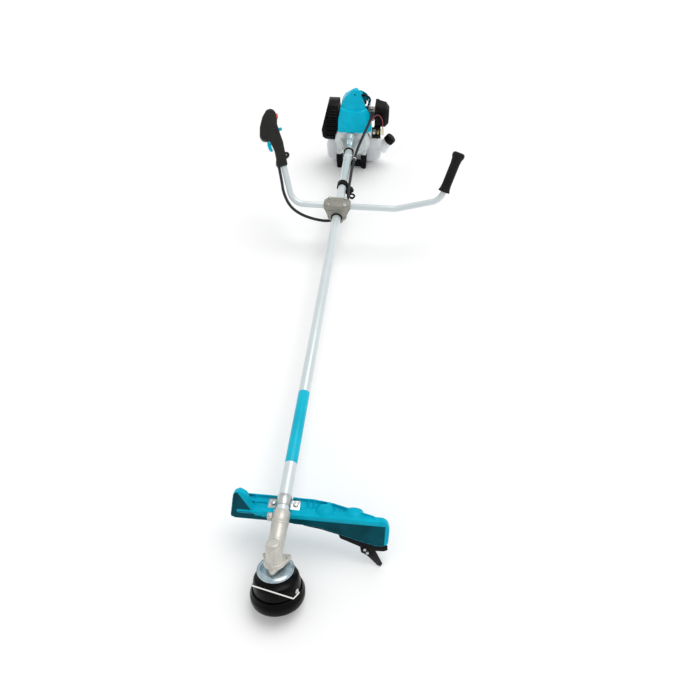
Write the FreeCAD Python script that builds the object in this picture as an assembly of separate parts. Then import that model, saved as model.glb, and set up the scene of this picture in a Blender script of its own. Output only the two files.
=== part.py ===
import FreeCAD, Part
import math
import os

# A two-stroke brush cutter lying as it rests between jobs. The drive tube runs along +Y from the
# gearcase to the engine, +X is the plain-grip side and +Z is up. The model is laid out about the
# point where the tube axis meets the output axis, then stood on its resting plane at the end.

Vector = FreeCAD.Vector

# ---- clearances shared by the whole machine (mm) ----
slide_gap = 0.05        # radial, between a shaft or tube and what it runs or fits in
air_gap = 0.3           # between pieces that only lie beside each other
turn_gap = 0.6          # round pieces that turn past fixed ones

# ---- drive tube and shaft ----
tube_radius = 14.0
tube_wall = 1.5
tube_length = 1500.0
tube_socket = 34.0      # depth of the tube in the gearcase
shaft_radius = 4.0
bush_length = 24.0
bush_count = 5

# ---- gearcase ----
head_tilt = 65.0        # degrees from the tube to the output axis
head_roll = -4.0        # degrees that the gearcase is turned round the tube
collar_radius = 18.5
collar_length = 26.0
neck_radius = 17.5
neck_length = 94.0      # from the meeting of the axes to the collar's mouth
boss_radius = 15.0
boss_height = 30.0
base_radius = 22.0
flange_depth = 20.0     # from the meeting of the axes to the flange
flange_thickness = 7.0
flange_front = 29.0
flange_back = 27.0
flange_side = 31.0
cap_height = 1.0        # raised round pad on top of the boss
lug_width = 14.0
lug_reach = 10.0

# ---- bevel gears ----
pinion_teeth = 14
ring_teeth = 19
gear_module = 1.75
face_width = 4.6
pressure_angle = 20.0
tooth_backlash = 0.30
addendum_share = 0.80
dedendum_share = 1.15

# ---- shafts and bearings of the gearcase: inner radius, outer radius, width ----
pinion_bearing = (5.0, 13.0, 8.0)
upper_bearing = (3.5, 9.5, 6.0)
lower_bearing = (7.5, 17.5, 10.0)
bearing_space = 2.0
bearing_step = 1.2
shaft_waist = 3.1
spline_radius = 6.0
square_side = 5.2

# ---- shield disc and line head ----
disc_radius = 38.0
disc_depth = 33.0
disc_thickness = 5.0
line_head_top = 39.0
line_head_neck = 34.0
line_head_radius = 50.0
line_head_shoulder = 52.0
line_head_split = 84.0
rim_radius = 57.5
rim_foot_radius = 56.0
rim_depth = 112.0
head_wall = 3.0
spool_radius = 41.0
spool_hub = 17.0
spool_height = 26.0
line_radius = 1.35
knob_radius = 24.0
knob_drop = 9.0
knob_travel = 5.0
spring_turns = 4
spring_runs = 8         # straight runs in each turn
eyelet_radius = 4.0
eyelet_depth = 73.0

# ---- guard ----
guard_lip_y = 93.0
guard_lip_z = -2.0
guard_left = -113.0
guard_right = 229.0
guard_wall = 3.5
guard_lip_depth = 15.0
guard_tray_top = -12.0
guard_tray_back = 134.0
guard_notch = 17.0
bracket_bolt_span = 49.0
bracket_width = 30.0
bracket_thickness = 2.0
bolt_radius = 3.0
blade_length = 52.0
blade_width = 17.0
blade_thickness = 2.0

# ---- handlebar and its clamp ----
bar_radius = 9.5
bar_wall = 1.5
clamp_from_engine = 358.0
clamp_width = 84.0
clamp_depth = 52.0
clamp_bush = 3.0
bar_height = 28.0
bar_left_reach = 142.0      # from the tube to the left bar's bend
bar_right_reach = 184.0     # from the tube to the right bar's first bend
bar_right_run = 138.0       # on to its second bend
bar_right_lift = 30.0
bar_bend = 48.0
clamp_top_thickness = 16.0
clamp_lower_depth = 24.0
grip_radius = 14.5
grip_cap_radius = 19.5
grip_length = 119.0
grip_start = 31.0           # from the right bar's second bend
handle_length = 175.0
handle_start = 117.0        # from the left bar's bend

# ---- harness hanger ----
hanger_from_engine = 209.0
hanger_width = 22.0
hanger_wall = 4.0
hanger_eye_radius = 6.0
hanger_eye_thickness = 6.0
hanger_turn = 45.0          # degrees that the clamp's tab points down to the right

# ---- clutch housing and engine ----
mouth_radius = 20.5
mouth_bush = 5.0
housing_insert = 66.0
housing_length = 82.0
bell_radius = 32.0
cowl_radius = 65.0
cowl_width = 32.0
cowl_wall = 3.0
drum_radius = 39.0
drum_depth = 20.0
flywheel_radius = 52.0
flywheel_width = 18.0
fan_blades = 18
crank_radius = 8.0
crankcase_length = 62.0
crankcase_radius = 40.0
cylinder_radius = 25.0
cylinder_base = 42.0
cylinder_top = 114.0
fin_count = 8
fin_thickness = 2.2
fin_half_width = 42.0
starter_radius = 62.0
starter_depth = 34.0
tank_left = -90.0
tank_right = 92.0
tank_top = -46.0
tank_wall = 3.0
filler_radius = 17.0
fuel_cap_radius = 19.5
fuel_cap_height = 22.0
stand_foot_span = 92.0
stand_runner = 6.5          # height of the stand's runners under the tank

# ---- worked out from the sizes above ----
tilt = math.radians(head_tilt)
head_up = Vector(0, math.cos(tilt), math.sin(tilt))        # along the output axis, away from the ground
head_fore = Vector(0, -math.sin(tilt), math.cos(tilt))     # across it, away from the engine
side = Vector(1, 0, 0)
up = Vector(0, 0, 1)
back = Vector(0, 1, 0)
tube_start = neck_length - tube_socket
tube_end = tube_start + tube_length
housing_mouth = tube_end - housing_insert
clamp_y = housing_mouth - clamp_from_engine
hanger_y = housing_mouth - hanger_from_engine


# ---- shape helpers ----
def point(x, y, z):
    return Vector(x, y, z)


def onHead(across, fore, height):
    """A point given across the machine, fore of the output axis and up along it."""
    return side * across + head_fore * fore + head_up * height


def block(x_range, y_range, z_range):
    low = point(x_range[0], y_range[0], z_range[0])
    return Part.makeBox(x_range[1] - x_range[0], y_range[1] - y_range[0], z_range[1] - z_range[0], low)


def rod(radius, start, end):
    return Part.makeCylinder(radius, (end - start).Length, start, end - start)


def cone(start_radius, end_radius, start, end):
    return Part.makeCone(start_radius, end_radius, (end - start).Length, start, end - start)


def sleeve(outer, inner, start, end):
    return rod(outer, start, end).cut(rod(inner, start, end))


def joined(shapes):
    first = shapes[0]
    return first.fuse(shapes[1:]).removeSplitter() if len(shapes) > 1 else first


def turned(profile, centre, axis):
    """A solid of revolution from (radius, distance along the axis) pairs."""
    axis = Vector(axis).normalize()
    across = axis.cross(side)
    if across.Length < 0.1:
        across = axis.cross(up)
    across.normalize()
    corners = [centre + across * radius + axis * along for radius, along in profile]
    face = Part.Face(Part.makePolygon(corners + [corners[0]]))
    return face.revolve(centre, axis, 360)


def roundedLoop(corners, radii):
    """A closed flat outline whose corners are rounded with tangent arcs."""
    count = len(corners)
    if not isinstance(radii, (list, tuple)):
        radii = [radii] * count
    arcs = []
    for index, corner in enumerate(corners):
        to_last = (corners[index - 1] - corner).normalize()
        to_next = (corners[(index + 1) % count] - corner).normalize()
        half = to_last.getAngle(to_next) / 2
        reach = radii[index] / math.tan(half)
        middle = (to_last + to_next).normalize()
        centre = corner + middle * (radii[index] / math.sin(half))
        arcs.append((corner + to_last * reach, centre - middle * radii[index], corner + to_next * reach))
    edges = []
    for index, (start, mid, end) in enumerate(arcs):
        if start.distanceToPoint(end) > 0.01:
            edges.append(Part.Arc(start, mid, end).toShape())
        following = arcs[(index + 1) % count][0]
        if end.distanceToPoint(following) > 0.01:
            edges.append(Part.LineSegment(end, following).toShape())
    return Part.Wire(edges)


def closed(corners):
    return Part.makePolygon(corners + [corners[0]])


def plate(corners, radii, thickness):
    """A flat plate with rounded corners; thickness is the vector it is raised by."""
    return Part.Face(roundedLoop(corners, radii)).extrude(thickness)


def lofted(loops, ruled=True):
    return Part.makeLoft(loops, True, ruled)


def taperedPrism(corners, scale):
    """A flat-sided solid from an outline to the same outline scaled towards the origin."""
    shrunk = [corner * scale for corner in corners]
    count = len(corners)
    faces = [Part.Face(Part.makePolygon(loop + [loop[0]])) for loop in (corners, shrunk)]
    for index in range(count):
        following = (index + 1) % count
        quad = [corners[index], corners[following], shrunk[following], shrunk[index]]
        faces.append(Part.Face(Part.makePolygon(quad + [quad[0]])))
    solid = Part.makeSolid(Part.makeShell(faces))
    return solid if solid.Volume > 0 else solid.reversed()


def routeEdges(stops, share=0.45, radius=None):
    """Straight runs joined by tangent arcs, as large as the shorter run allows unless a radius is given."""
    edges = []
    start = stops[0]
    for before, corner, after in zip(stops, stops[1:], stops[2:]):
        to_last = before - corner
        to_next = after - corner
        turn = math.pi - to_last.getAngle(to_next)
        arc_radius = radius or share * min(to_last.Length, to_next.Length) / math.tan(turn / 2)
        reach = arc_radius * math.tan(turn / 2)
        to_last.normalize()
        to_next.normalize()
        middle = (to_last + to_next).normalize()
        centre = corner + middle * (arc_radius / math.cos(turn / 2))
        entry = corner + to_last * reach
        edges.append(Part.LineSegment(start, entry).toShape())
        start = corner + to_next * reach
        edges.append(Part.Arc(entry, centre - middle * arc_radius, start).toShape())
    edges.append(Part.LineSegment(start, stops[-1]).toShape())
    return edges


def arcRadii(stops, share=0.45):
    radii = []
    for before, corner, after in zip(stops, stops[1:], stops[2:]):
        turn = math.pi - (before - corner).getAngle(after - corner)
        shorter = min((before - corner).Length, (after - corner).Length)
        radii.append(share * shorter / math.tan(turn / 2))
    return radii


def piped(stops, pipe_radius, bend_radius=None, bore=0):
    """A round tube or rod along a route."""
    edges = routeEdges(stops, radius=bend_radius)
    path = Part.Wire(edges)
    loop = Part.Wire([Part.Circle(stops[0], stops[1] - stops[0], pipe_radius).toShape()])
    pipe = path.makePipeShell([loop], True, False)
    if bore:
        hole = Part.Wire([Part.Circle(stops[0], stops[1] - stops[0], bore).toShape()])
        pipe = pipe.cut(path.makePipeShell([hole], True, False))
    return pipe


def rounded(shape, radius, chooser):
    edges = [edge for edge in shape.Edges if chooser(edge)]
    return shape.makeFillet(radius, edges) if edges else shape


def aroundHead(shape):
    """Turn a piece of the head end round the tube to where the gearcase is clamped."""
    moved = shape.copy()
    moved.rotate(point(0, 0, 0), back, head_roll)
    return moved


def laidAlong(shape, origin, x_axis, z_axis):
    """Move a shape made about the origin so that its X and Z lie along the two axes."""
    turn = FreeCAD.Rotation(x_axis, z_axis.cross(x_axis), z_axis, "ZXY")
    return shape.transformed(FreeCAD.Placement(origin, turn).toMatrix())


pieces = {}


def keep(name, solids):
    """Set a finished piece, or a group of identical ones, aside for export."""
    if not isinstance(solids, (list, tuple)):
        solids = [solids]
    loose = []
    for shape in solids:
        loose += shape.Solids
    pieces[name] = Part.makeCompound(loose) if len(loose) > 1 else loose[0]


# ---- bevel gears ----
pinion_pitch = gear_module * pinion_teeth / 2
ring_pitch = gear_module * ring_teeth / 2
shaft_angle = math.pi - tilt
pinion_cone = math.atan2(math.sin(shaft_angle), ring_teeth / pinion_teeth + math.cos(shaft_angle))
ring_cone = shaft_angle - pinion_cone
cone_distance = pinion_pitch / math.sin(pinion_cone)
addendum = gear_module * addendum_share
dedendum = gear_module * dedendum_share


def toothFlank(pitch_radius, cone_angle):
    """(distance along the axis, radius, half the tooth's angle) from root to tip on the outer cone."""
    virtual = pitch_radius / math.cos(cone_angle)
    base = virtual * math.cos(math.radians(pressure_angle))

    def involute(radius):
        angle = math.acos(min(1, base / radius))
        return math.tan(angle) - angle

    half_width = (math.pi * gear_module / 2 - tooth_backlash) / 2
    flank = []
    for height in (-dedendum, -addendum / 2, 0.0, addendum / 2, addendum):
        radius = virtual + height
        spread = half_width / virtual + involute(virtual) - involute(max(radius, base))
        along = cone_distance * math.cos(cone_angle) - height * math.sin(cone_angle)
        out = pitch_radius + height * math.cos(cone_angle)
        flank.append((along, out, spread * radius / out))
    return flank


def bevelGear(pitch_radius, cone_angle, teeth, axis, toward, first_angle, back_length, bore):
    """Straight bevel gear: every flank runs through the point where the axes meet."""
    across = Vector(toward).normalize()
    beyond = axis.cross(across).normalize()
    shrink = (cone_distance - face_width) / cone_distance
    flank = toothFlank(pitch_radius, cone_angle)

    root_along, root_out, root_spread = flank[0]
    sunk = dedendum * 0.4
    deep = (root_along + sunk * math.sin(cone_angle), root_out - sunk * math.cos(cone_angle), root_spread)
    outline = [deep] + flank
    blank = [(root_out, root_along), (root_out * shrink, root_along * shrink),
             (bore, root_along * shrink), (bore, root_along + back_length), (root_out, root_along + back_length)]
    shapes = [turned(blank, point(0, 0, 0), axis)]
    for tooth in range(teeth):
        middle = first_angle + 2 * math.pi * tooth / teeth
        outward = across * math.cos(middle) + beyond * math.sin(middle)
        sideways = axis.cross(outward)
        left = [axis * a + outward * r + sideways * (r * math.tan(s)) for a, r, s in outline]
        right = [axis * a + outward * r - sideways * (r * math.tan(s)) for a, r, s in reversed(outline)]
        shapes.append(taperedPrism(left + right, shrink))
    return joined(shapes)


def makeGears():
    down = head_up * -1
    toward = point(0, 0, -1)
    pinion_back = pinion_bearing[0]
    pinion = bevelGear(pinion_pitch, pinion_cone, pinion_teeth, back, toward, 0.0, pinion_back, pinion_bearing[0])
    ring_toward = (back + down * math.cos(tilt)).normalize()
    ring = bevelGear(ring_pitch, ring_cone, ring_teeth, down, ring_toward, math.pi / ring_teeth,
                     ring_back, lower_bearing[0])
    return pinion, ring


ring_root = cone_distance * math.cos(ring_cone) + dedendum * math.sin(ring_cone)
pinion_root = cone_distance * math.cos(pinion_cone) + dedendum * math.sin(pinion_cone)
lower_bearing_top = flange_depth - 4.0
ring_back = lower_bearing_top - bearing_step - ring_root
pinion_seat = pinion_root + pinion_bearing[0] + bearing_step
pinion_shaft_end = pinion_seat + 2 * pinion_bearing[2] + bearing_space + 8.0
upper_bearing_foot = 19.0


def race(bearing, centre, axis, shift):
    """A deep-groove bearing drawn as one ring with its shield recess."""
    inner, outer, width = bearing
    low = inner + slide_gap / 2
    high = outer - slide_gap / 2
    wall = (outer - inner) / 4
    step = width / 10
    profile = [(low, 0), (low + wall, 0), (low + wall, step), (high - wall, step), (high - wall, 0), (high, 0),
               (high, width), (high - wall, width), (high - wall, width - step), (low + wall, width - step),
               (low + wall, width), (low, width)]
    return turned(profile, centre + axis * shift, axis)


def makeGearBearings():
    down = head_up * -1
    first = race(pinion_bearing, point(0, pinion_seat, 0), back, 0)
    second = race(pinion_bearing, point(0, pinion_seat + pinion_bearing[2] + bearing_space, 0), back, 0)
    upper = race(upper_bearing, head_up * upper_bearing_foot, head_up, 0)
    lower = race(lower_bearing, down * lower_bearing_top, down, 0)
    return [first, second, upper, lower]


def makePinion(pinion):
    """The pinion and the short shaft that it is cut on, with a square socket for the drive shaft."""
    inner = pinion_bearing[0] - slide_gap / 2
    start = point(0, pinion_root * 0.78, 0)
    stem = rod(inner, start, point(0, pinion_shaft_end, 0))
    shoulder = rod(inner + bearing_step, point(0, pinion_root, 0), point(0, pinion_seat, 0))
    half = square_side / 2 + slide_gap
    socket = block((-half, half), (pinion_shaft_end - 16, pinion_shaft_end + 1), (-half, half))
    return joined([pinion, stem, shoulder]).cut(socket)


def makeOutputShaft():
    """The output shaft: upper journal, waist beside the pinion, gear seat, bearing seat and spline."""
    journal = upper_bearing[0] - slide_gap / 2
    seat = lower_bearing[0] - slide_gap / 2
    top = upper_bearing_foot + upper_bearing[2]
    foot = spool_floor - 3.0
    profile = [(0, top), (journal, top), (journal, upper_bearing_foot - 0.5), (shaft_waist, upper_bearing_foot - 1.5),
               (shaft_waist, -ring_root * 0.7), (seat, -ring_root * 0.7 - 1), (seat, -disc_depth - disc_thickness),
               (spline_radius, -disc_depth - disc_thickness), (spline_radius, -foot), (0, -foot)]
    return turned(profile, point(0, 0, 0), head_up)


spool_floor = line_head_split - 8.0


# ---- gearcase ----
def makeGearcase():
    centre = point(0, 0, 0)
    outer = [(0, boss_height + cap_height), (boss_radius - 4, boss_height + cap_height),
             (boss_radius - 3.5, boss_height), (boss_radius - 1.5, boss_height), (boss_radius, boss_height - 1.5),
             (boss_radius, boss_height - 6), (boss_radius + 1.5, boss_height - 9), (boss_radius + 3, 2),
             (base_radius, -flange_depth * 0.7), (base_radius, -flange_depth - flange_thickness),
             (0, -flange_depth - flange_thickness)]
    body = turned(outer, centre, head_up)
    neck = rod(neck_radius, centre, point(0, neck_length - collar_length, 0))
    seam = rod(neck_radius + 0.5, point(0, neck_length - collar_length - 30, 0),
               point(0, neck_length - collar_length, 0))
    collar = rod(collar_radius, point(0, neck_length - collar_length, 0), point(0, neck_length, 0))
    low = -flange_depth - flange_thickness
    corners = [onHead(0, flange_front + 6, low), onHead(flange_side + 4, -flange_back, low),
               onHead(-flange_side - 4, -flange_back, low)]
    flange = plate(corners, [5, 7, 7], head_up * flange_thickness)
    rib = Part.Face(Part.makePolygon([
        onHead(0, boss_radius - 1, boss_height - 8), onHead(0, boss_radius + 2.5, boss_height - 10),
        onHead(0, flange_front - 3, -flange_depth), onHead(0, boss_radius - 1, -flange_depth),
        onHead(0, boss_radius - 1, boss_height - 8)])).extrude(side * 3)
    rib.translate(side * -1.5)
    lug_low = neck_length - collar_length / 2 - lug_width / 2
    lug = block((-collar_radius - lug_reach, 0), (lug_low, lug_low + lug_width), (-8, 8))
    solid = joined([body, neck, seam, collar, flange, rib, lug])
    slit = block((-collar_radius - lug_reach - 1, -tube_radius + 2),
                 (neck_length - collar_length + 4, neck_length + 1), (-1, 1))
    lug_x = -collar_radius - lug_reach / 2 - 0.5
    bolt = rod(bolt_radius - 0.5 + slide_gap, point(lug_x, lug_low + lug_width / 2, -9),
               point(lug_x, lug_low + lug_width / 2, 9))
    tools = [
        rod(lower_bearing[1], head_up * (low - 1), head_up * -1.0),
        rod(upper_bearing[1], head_up * -2, head_up * (upper_bearing_foot + upper_bearing[2] + air_gap)),
        rod(pinion_bearing[1] + 1.5, point(0, 5, 0), point(0, pinion_seat, 0)),
        rod(pinion_bearing[1], point(0, pinion_seat - 1, 0), point(0, pinion_shaft_end - 6, 0)),
        rod(pinion_bearing[1] - 1.5, point(0, pinion_shaft_end - 7, 0), point(0, tube_start + 1, 0)),
        rod(tube_radius + slide_gap, point(0, tube_start, 0), point(0, neck_length + 1, 0)),
        slit, bolt]
    return solid.cut(tools)


def capScrew(head_centre, axis, length, radius=bolt_radius, head_share=1.7):
    """A socket-head screw; the axis points from the head into the work."""
    head_radius = radius * head_share
    head = rod(head_radius, head_centre - axis * radius * 1.8, head_centre)
    shank = rod(radius - slide_gap, head_centre, head_centre + axis * length)
    return head.fuse(shank)


def makeGearcaseScrews():
    """The clamp bolt through the collar's lugs."""
    lug_x = -collar_radius - lug_reach / 2 - 0.5
    lug_middle = neck_length - collar_length / 2
    radius = bolt_radius - 0.5
    return [capScrew(point(lug_x, lug_middle, 8), up * -1, 20, radius)]


# ---- shield disc and line head ----
def makeShieldDisc():
    top = -disc_depth
    rim = disc_radius
    profile = [(lower_bearing[0] + slide_gap, top), (rim - 7, top), (rim - 3, top - 1), (rim, top - 3.5),
               (rim, top - disc_thickness - 1.5), (rim - 2, top - disc_thickness - 1.5), (rim - 2, top - 4),
               (rim - 5, top - 2.2), (rim - 14, top - 2.2), (rim - 16, top - disc_thickness),
               (lower_bearing[0] + slide_gap, top - disc_thickness)]
    return turned(profile, point(0, 0, 0), head_up)


def makeHeadHousing():
    """Upper housing of the line head: neck, step, bell and two line ports."""
    top = -line_head_top
    shoulder = -line_head_shoulder
    split = -line_head_split
    radius = line_head_radius
    bore = spline_radius + slide_gap
    outer = [(bore, top), (line_head_neck - 2, top), (line_head_neck, top - 2), (line_head_neck, top - 7),
             (radius - 10, shoulder), (radius - 5, shoulder - 2), (radius - 2, shoulder - 8), (radius, split + 6),
             (radius, split), (radius - head_wall, split), (radius - head_wall, split + 6),
             (radius - head_wall - 2, shoulder - 8), (radius - 10, shoulder - 5), (spool_hub - 5, shoulder - 5),
             (spool_hub - 5, -spool_floor + 2), (bore, -spool_floor + 2)]
    housing = turned(outer, point(0, 0, 0), head_up)
    ports = []
    for turn in (-1, 1):
        outward = (side * math.cos(eyelet_angle) + head_fore * math.sin(eyelet_angle)) * turn
        centre = head_up * -eyelet_depth
        ports.append(rod(eyelet_radius, centre + outward * (radius - 8), centre + outward * (radius + 3)))
    return housing.cut(ports)


def makeHeadBase():
    """Lower cover of the line head with its wide rim and the opening for the bump knob."""
    split = -line_head_split + 0.0
    foot = -rim_depth
    radius = line_head_radius
    hole = knob_radius + turn_gap
    outer = [(radius + air_gap, split + 2), (radius + 3, split + 2), (rim_radius - 2, split - 5), (rim_radius, split - 9),
             (rim_radius, foot + 7), (rim_foot_radius, foot + 1.5), (rim_foot_radius - 2.5, foot),
             (rim_foot_radius - 8, foot), (rim_foot_radius - 10, foot + 6), (hole + 3, foot + 4), (hole + 3, foot),
             (hole, foot), (hole, foot + 7), (radius - 4, foot + 9), (radius - head_wall, foot + 12),
             (radius - head_wall, split - air_gap), (radius + air_gap, split - air_gap)]
    return turned(outer, point(0, 0, 0), head_up)


def makeSpool():
    """Line spool with two flanges and a dividing web, wound nearly full."""
    top = -spool_top
    foot = -spool_top - spool_height
    bore = spool_hub - 5 + turn_gap
    web = (top + foot) / 2
    profile = [(bore, top), (spool_radius, top), (spool_radius, top - 2), (spool_hub, top - 2), (spool_hub, web + 1),
               (spool_radius - 3, web + 1), (spool_radius - 3, web - 1), (spool_hub, web - 1), (spool_hub, foot + 2),
               (spool_radius, foot + 2), (spool_radius, foot), (bore, foot)]
    return turned(profile, point(0, 0, 0), head_up)


def makeSpoolLine():
    """The wound line, as two closed packs between the spool's flanges."""
    packs = []
    half = spool_height / 2
    for level in (0, half):
        top = -spool_top - 2 - level
        if level:
            top += 1
        foot = top - half + 3
        packs.append(sleeve(spool_radius - 5, spool_hub, head_up * foot, head_up * top))
    return packs


def makeSpoolSpring():
    """The feed spring between the housing's floor and the knob, as square wire in short straight runs."""
    half_wire = 1.0
    radius = spool_hub - 9.5
    low = -rim_depth - knob_drop + 10 + air_gap
    high = -spool_floor - air_gap * 2
    rise = high - low - 2 * half_wire
    sections = []
    for station in range(spring_turns * spring_runs + 1):
        turn = 2 * math.pi * station / spring_runs
        height = rise * station / (spring_turns * spring_runs) + half_wire
        loop = [point((radius + x) * math.cos(turn), (radius + x) * math.sin(turn), height + z)
                for x, z in ((-half_wire, -half_wire), (half_wire, -half_wire), (half_wire, half_wire),
                             (-half_wire, half_wire))]
        sections.append(closed(loop))
    return laidAlong(lofted(sections), head_up * low, side, head_up)


def makeBumpKnob():
    """The knob that is tapped on the ground to feed line, with a domed foot and a retaining hub."""
    foot = -rim_depth - knob_drop
    inside = -spool_top - spool_height - air_gap
    profile = [(0, foot), (knob_radius * 0.55, foot + 0.6), (knob_radius * 0.85, foot + 3), (knob_radius, foot + 8),
               (knob_radius, inside), (spool_hub - 6, inside), (spool_hub - 6, foot + 10), (0, foot + 10)]
    return turned(profile, point(0, 0, 0), head_up)


def makeEyelets():
    rings = []
    for turn in (-1, 1):
        outward = (side * math.cos(eyelet_angle) + head_fore * math.sin(eyelet_angle)) * turn
        centre = head_up * -eyelet_depth + outward * (line_head_radius - 4.5)
        body = sleeve(eyelet_radius - slide_gap, line_radius + 0.3, centre, centre + outward * 6)
        lip = sleeve(eyelet_radius + 1.2, line_radius + 0.3, centre + outward * 5, centre + outward * 6.5)
        rings.append(body.fuse(lip))
    return rings


def makeCuttingLine():
    """The free end of the line: out of its eyelet, then straight across the fore side of the head."""
    outward = side * math.cos(eyelet_angle) + head_fore * math.sin(eyelet_angle)
    start = head_up * -eyelet_depth + outward * (line_head_radius - 3.5)
    exit_point = head_up * -eyelet_depth + outward * (line_head_radius + 7)
    near = onHead(line_head_radius - 3, line_head_radius + 3, -line_head_shoulder - 8.5)
    far = onHead(-line_head_radius + 15, line_head_radius + 3, -line_head_shoulder + 18)
    return piped([start, exit_point, near, far], line_radius, bend_radius=3 * line_radius)


eyelet_angle = math.radians(24)
spool_top = line_head_shoulder + 6.5 + knob_travel


# ---- guard ----
guard_lip = point(0, guard_lip_y, guard_lip_z)


def onSkirt(across, height, depth=0.0):
    """A point on the guard's skirt: across, up from the lip along the skirt, and behind its front face."""
    return guard_lip + side * across + head_up * height - head_fore * depth


def skirtCorners():
    left = guard_left
    right = guard_right
    return [(left, -20), (left + 10, -24), (-31, -24), (12, -26), (40, -28), (81, -31), (104, -39), (140, -50),
            (177, -61), (right - 20, -68), (right, -62), (right + 1, -22), (right - 6, 0), (-60, 0), (-70, 16),
            (-76, 38), (left + 22, 47), (left + 8, 40)]


def skirtRadii():
    return [4, 6, 60, 60, 40, 30, 40, 90, 60, 12, 9, 30, 16, 12, 14, 8, 7, 12]


def makeGuardShell():
    """Moulded guard: skirt with a turned lip, and a ribbed tray behind it that bolts to the tube."""
    corners = skirtCorners()
    loop = roundedLoop([onSkirt(x, h) for x, h in corners], skirtRadii())
    back_of = head_fore * -1
    skirt = Part.Face(loop).extrude(back_of * guard_wall)
    full = Part.Face(loop).extrude(back_of * guard_lip_depth)
    inner_loop = loop.makeOffset2D(-guard_wall)
    opened = Part.Face(inner_loop).extrude(back_of * (guard_lip_depth + 4))
    lip = full.cut(opened)
    below = [(guard_left - 5, -90), (guard_right - 12, -90), (guard_right - 12, -15), (guard_left + 14, -15),
             (guard_left + 14, -12), (guard_left - 5, -12)]
    lower = Part.Face(Part.makePolygon([onSkirt(x, h, guard_wall) for x, h in below + [below[0]]]))
    lip = lip.cut(lower.extrude(back_of * guard_lip_depth))
    floor = guard_tray_top - guard_wall
    front = guard_lip_y - 4
    plan = [(guard_left + 16, front), (guard_right - 22, front), (guard_right - 30, front + 16), (150, front + 28),
            (104, guard_tray_back - 6), (60, guard_tray_back - 1), (guard_left + 26, guard_tray_back),
            (guard_left + 18, guard_tray_back - 12)]
    tray = plate([point(x, y, floor) for x, y in plan], [2, 2, 12, 60, 60, 60, 10, 8], up * guard_wall)
    wall_plan = roundedLoop([point(x, y, floor) for x, y in plan], [2, 2, 12, 60, 60, 60, 10, 8])
    wall = Part.Face(wall_plan).extrude(up * (guard_wall + 9))
    wall = wall.cut(Part.Face(wall_plan.makeOffset2D(-guard_wall * 0.8)).extrude(up * 30))
    ribs = []
    for x in (-62, 52, 64):
        ribs.append(block((x - 1, x + 1), (front + 6, guard_tray_back - 3), (floor, guard_tray_top + 6)))
    ribs.append(block((guard_left + 20, -bracket_bolt_span / 2 - 11), (guard_tray_back - 17, guard_tray_back - 15),
                      (floor, guard_tray_top + 5)))
    ribs.append(block((bracket_bolt_span / 2 + 11, 140), (front + 20, front + 22), (floor, guard_tray_top + 5)))
    humps = []
    for x, reach, height in ((90, 24, 16), (152, 28, 11)):
        dome = Part.makeSphere(reach, point(x, front + 18, guard_tray_top - reach + height))
        keepers = block((x - 40, x + 40), (front + 2, front + 34), (guard_tray_top - 1, guard_tray_top + 40))
        humps.append(dome.common(keepers))
    solid = joined([skirt, lip, tray, wall] + ribs + humps)
    gap = guard_notch
    notch_top = rod(collar_radius + turn_gap, point(0, 0, 0), point(0, neck_length + 2, 0))
    channel = block((-gap, gap), (neck_length - 20, guard_tray_back + 5), (guard_tray_top + 0.01, 60))
    tube_way = rod(tube_radius + air_gap, point(0, 0, 0), point(0, guard_tray_back + 5, 0))
    bolts = [rod(bolt_radius + slide_gap, point(x, bracket_y, -40), point(x, bracket_y, 10))
             for x in (-bracket_bolt_span / 2, bracket_bolt_span / 2)]
    blade_holes = [rod(bolt_radius - 1 + slide_gap, onSkirt(x, h, -10), onSkirt(x, h, 20)) for x, h in bladeScrewPlaces()]
    return solid.cut([notch_top, channel, tube_way] + bolts + blade_holes)


bracket_y = (guard_tray_back - 1 + guard_lip_y + 11) / 2
bracket_half = bracket_width / 2 - 3


def makeGuardBracket():
    """The steel saddle over the tube and the strap under the tray."""
    top = guard_tray_top
    thick = bracket_thickness
    inner = tube_radius + slide_gap
    reach = bracket_bolt_span / 2 + 10
    low = bracket_y - bracket_half
    high = bracket_y + bracket_half
    outside = joined([rod(inner + thick, point(0, low, 0), point(0, high, 0)),
                      block((-reach, reach), (low, high), (top, top + thick))])
    under = block((-reach - 1, reach + 1), (low - 1, high + 1), (-60, top))
    saddle = outside.cut([rod(inner, point(0, low - 1, 0), point(0, high + 1, 0)), under])
    holes = [rod(bolt_radius + slide_gap, point(x, bracket_y, -60), point(x, bracket_y, 20))
             for x in (-bracket_bolt_span / 2, bracket_bolt_span / 2)]
    strap_top = guard_tray_top - guard_wall
    strap = block((-reach, reach), (low, high), (strap_top - 3, strap_top))
    return [saddle.cut(holes), strap.cut(holes + [rod(inner, point(0, low - 1, 0), point(0, high + 1, 0))])]


def hexBolt(head_centre, axis, length, radius=bolt_radius):
    """A hex-head bolt; the axis points from the head into the work."""
    across = radius * 1.75
    first = axis.cross(back if abs(axis.dot(back)) < 0.9 else side).normalize()
    second = axis.cross(first).normalize()
    corners = [head_centre + (first * math.cos(turn) + second * math.sin(turn)) * across
               for turn in [math.pi / 3 * step for step in range(6)]]
    head = Part.Face(Part.makePolygon(corners + [corners[0]])).extrude(axis * (-radius * 1.3))
    return head.fuse(rod(radius - slide_gap, head_centre, head_centre + axis * length))


def makeGuardBolts():
    bolts = []
    reach = guard_wall + bracket_thickness + 3
    for x in (-bracket_bolt_span / 2, bracket_bolt_span / 2):
        bolts.append(hexBolt(point(x, bracket_y, guard_tray_top + bracket_thickness), up * -1, reach + 3))
    return bolts


def bladeScrewPlaces():
    return [(guard_right - 49, -80), (guard_right - 43, -88)]


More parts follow.
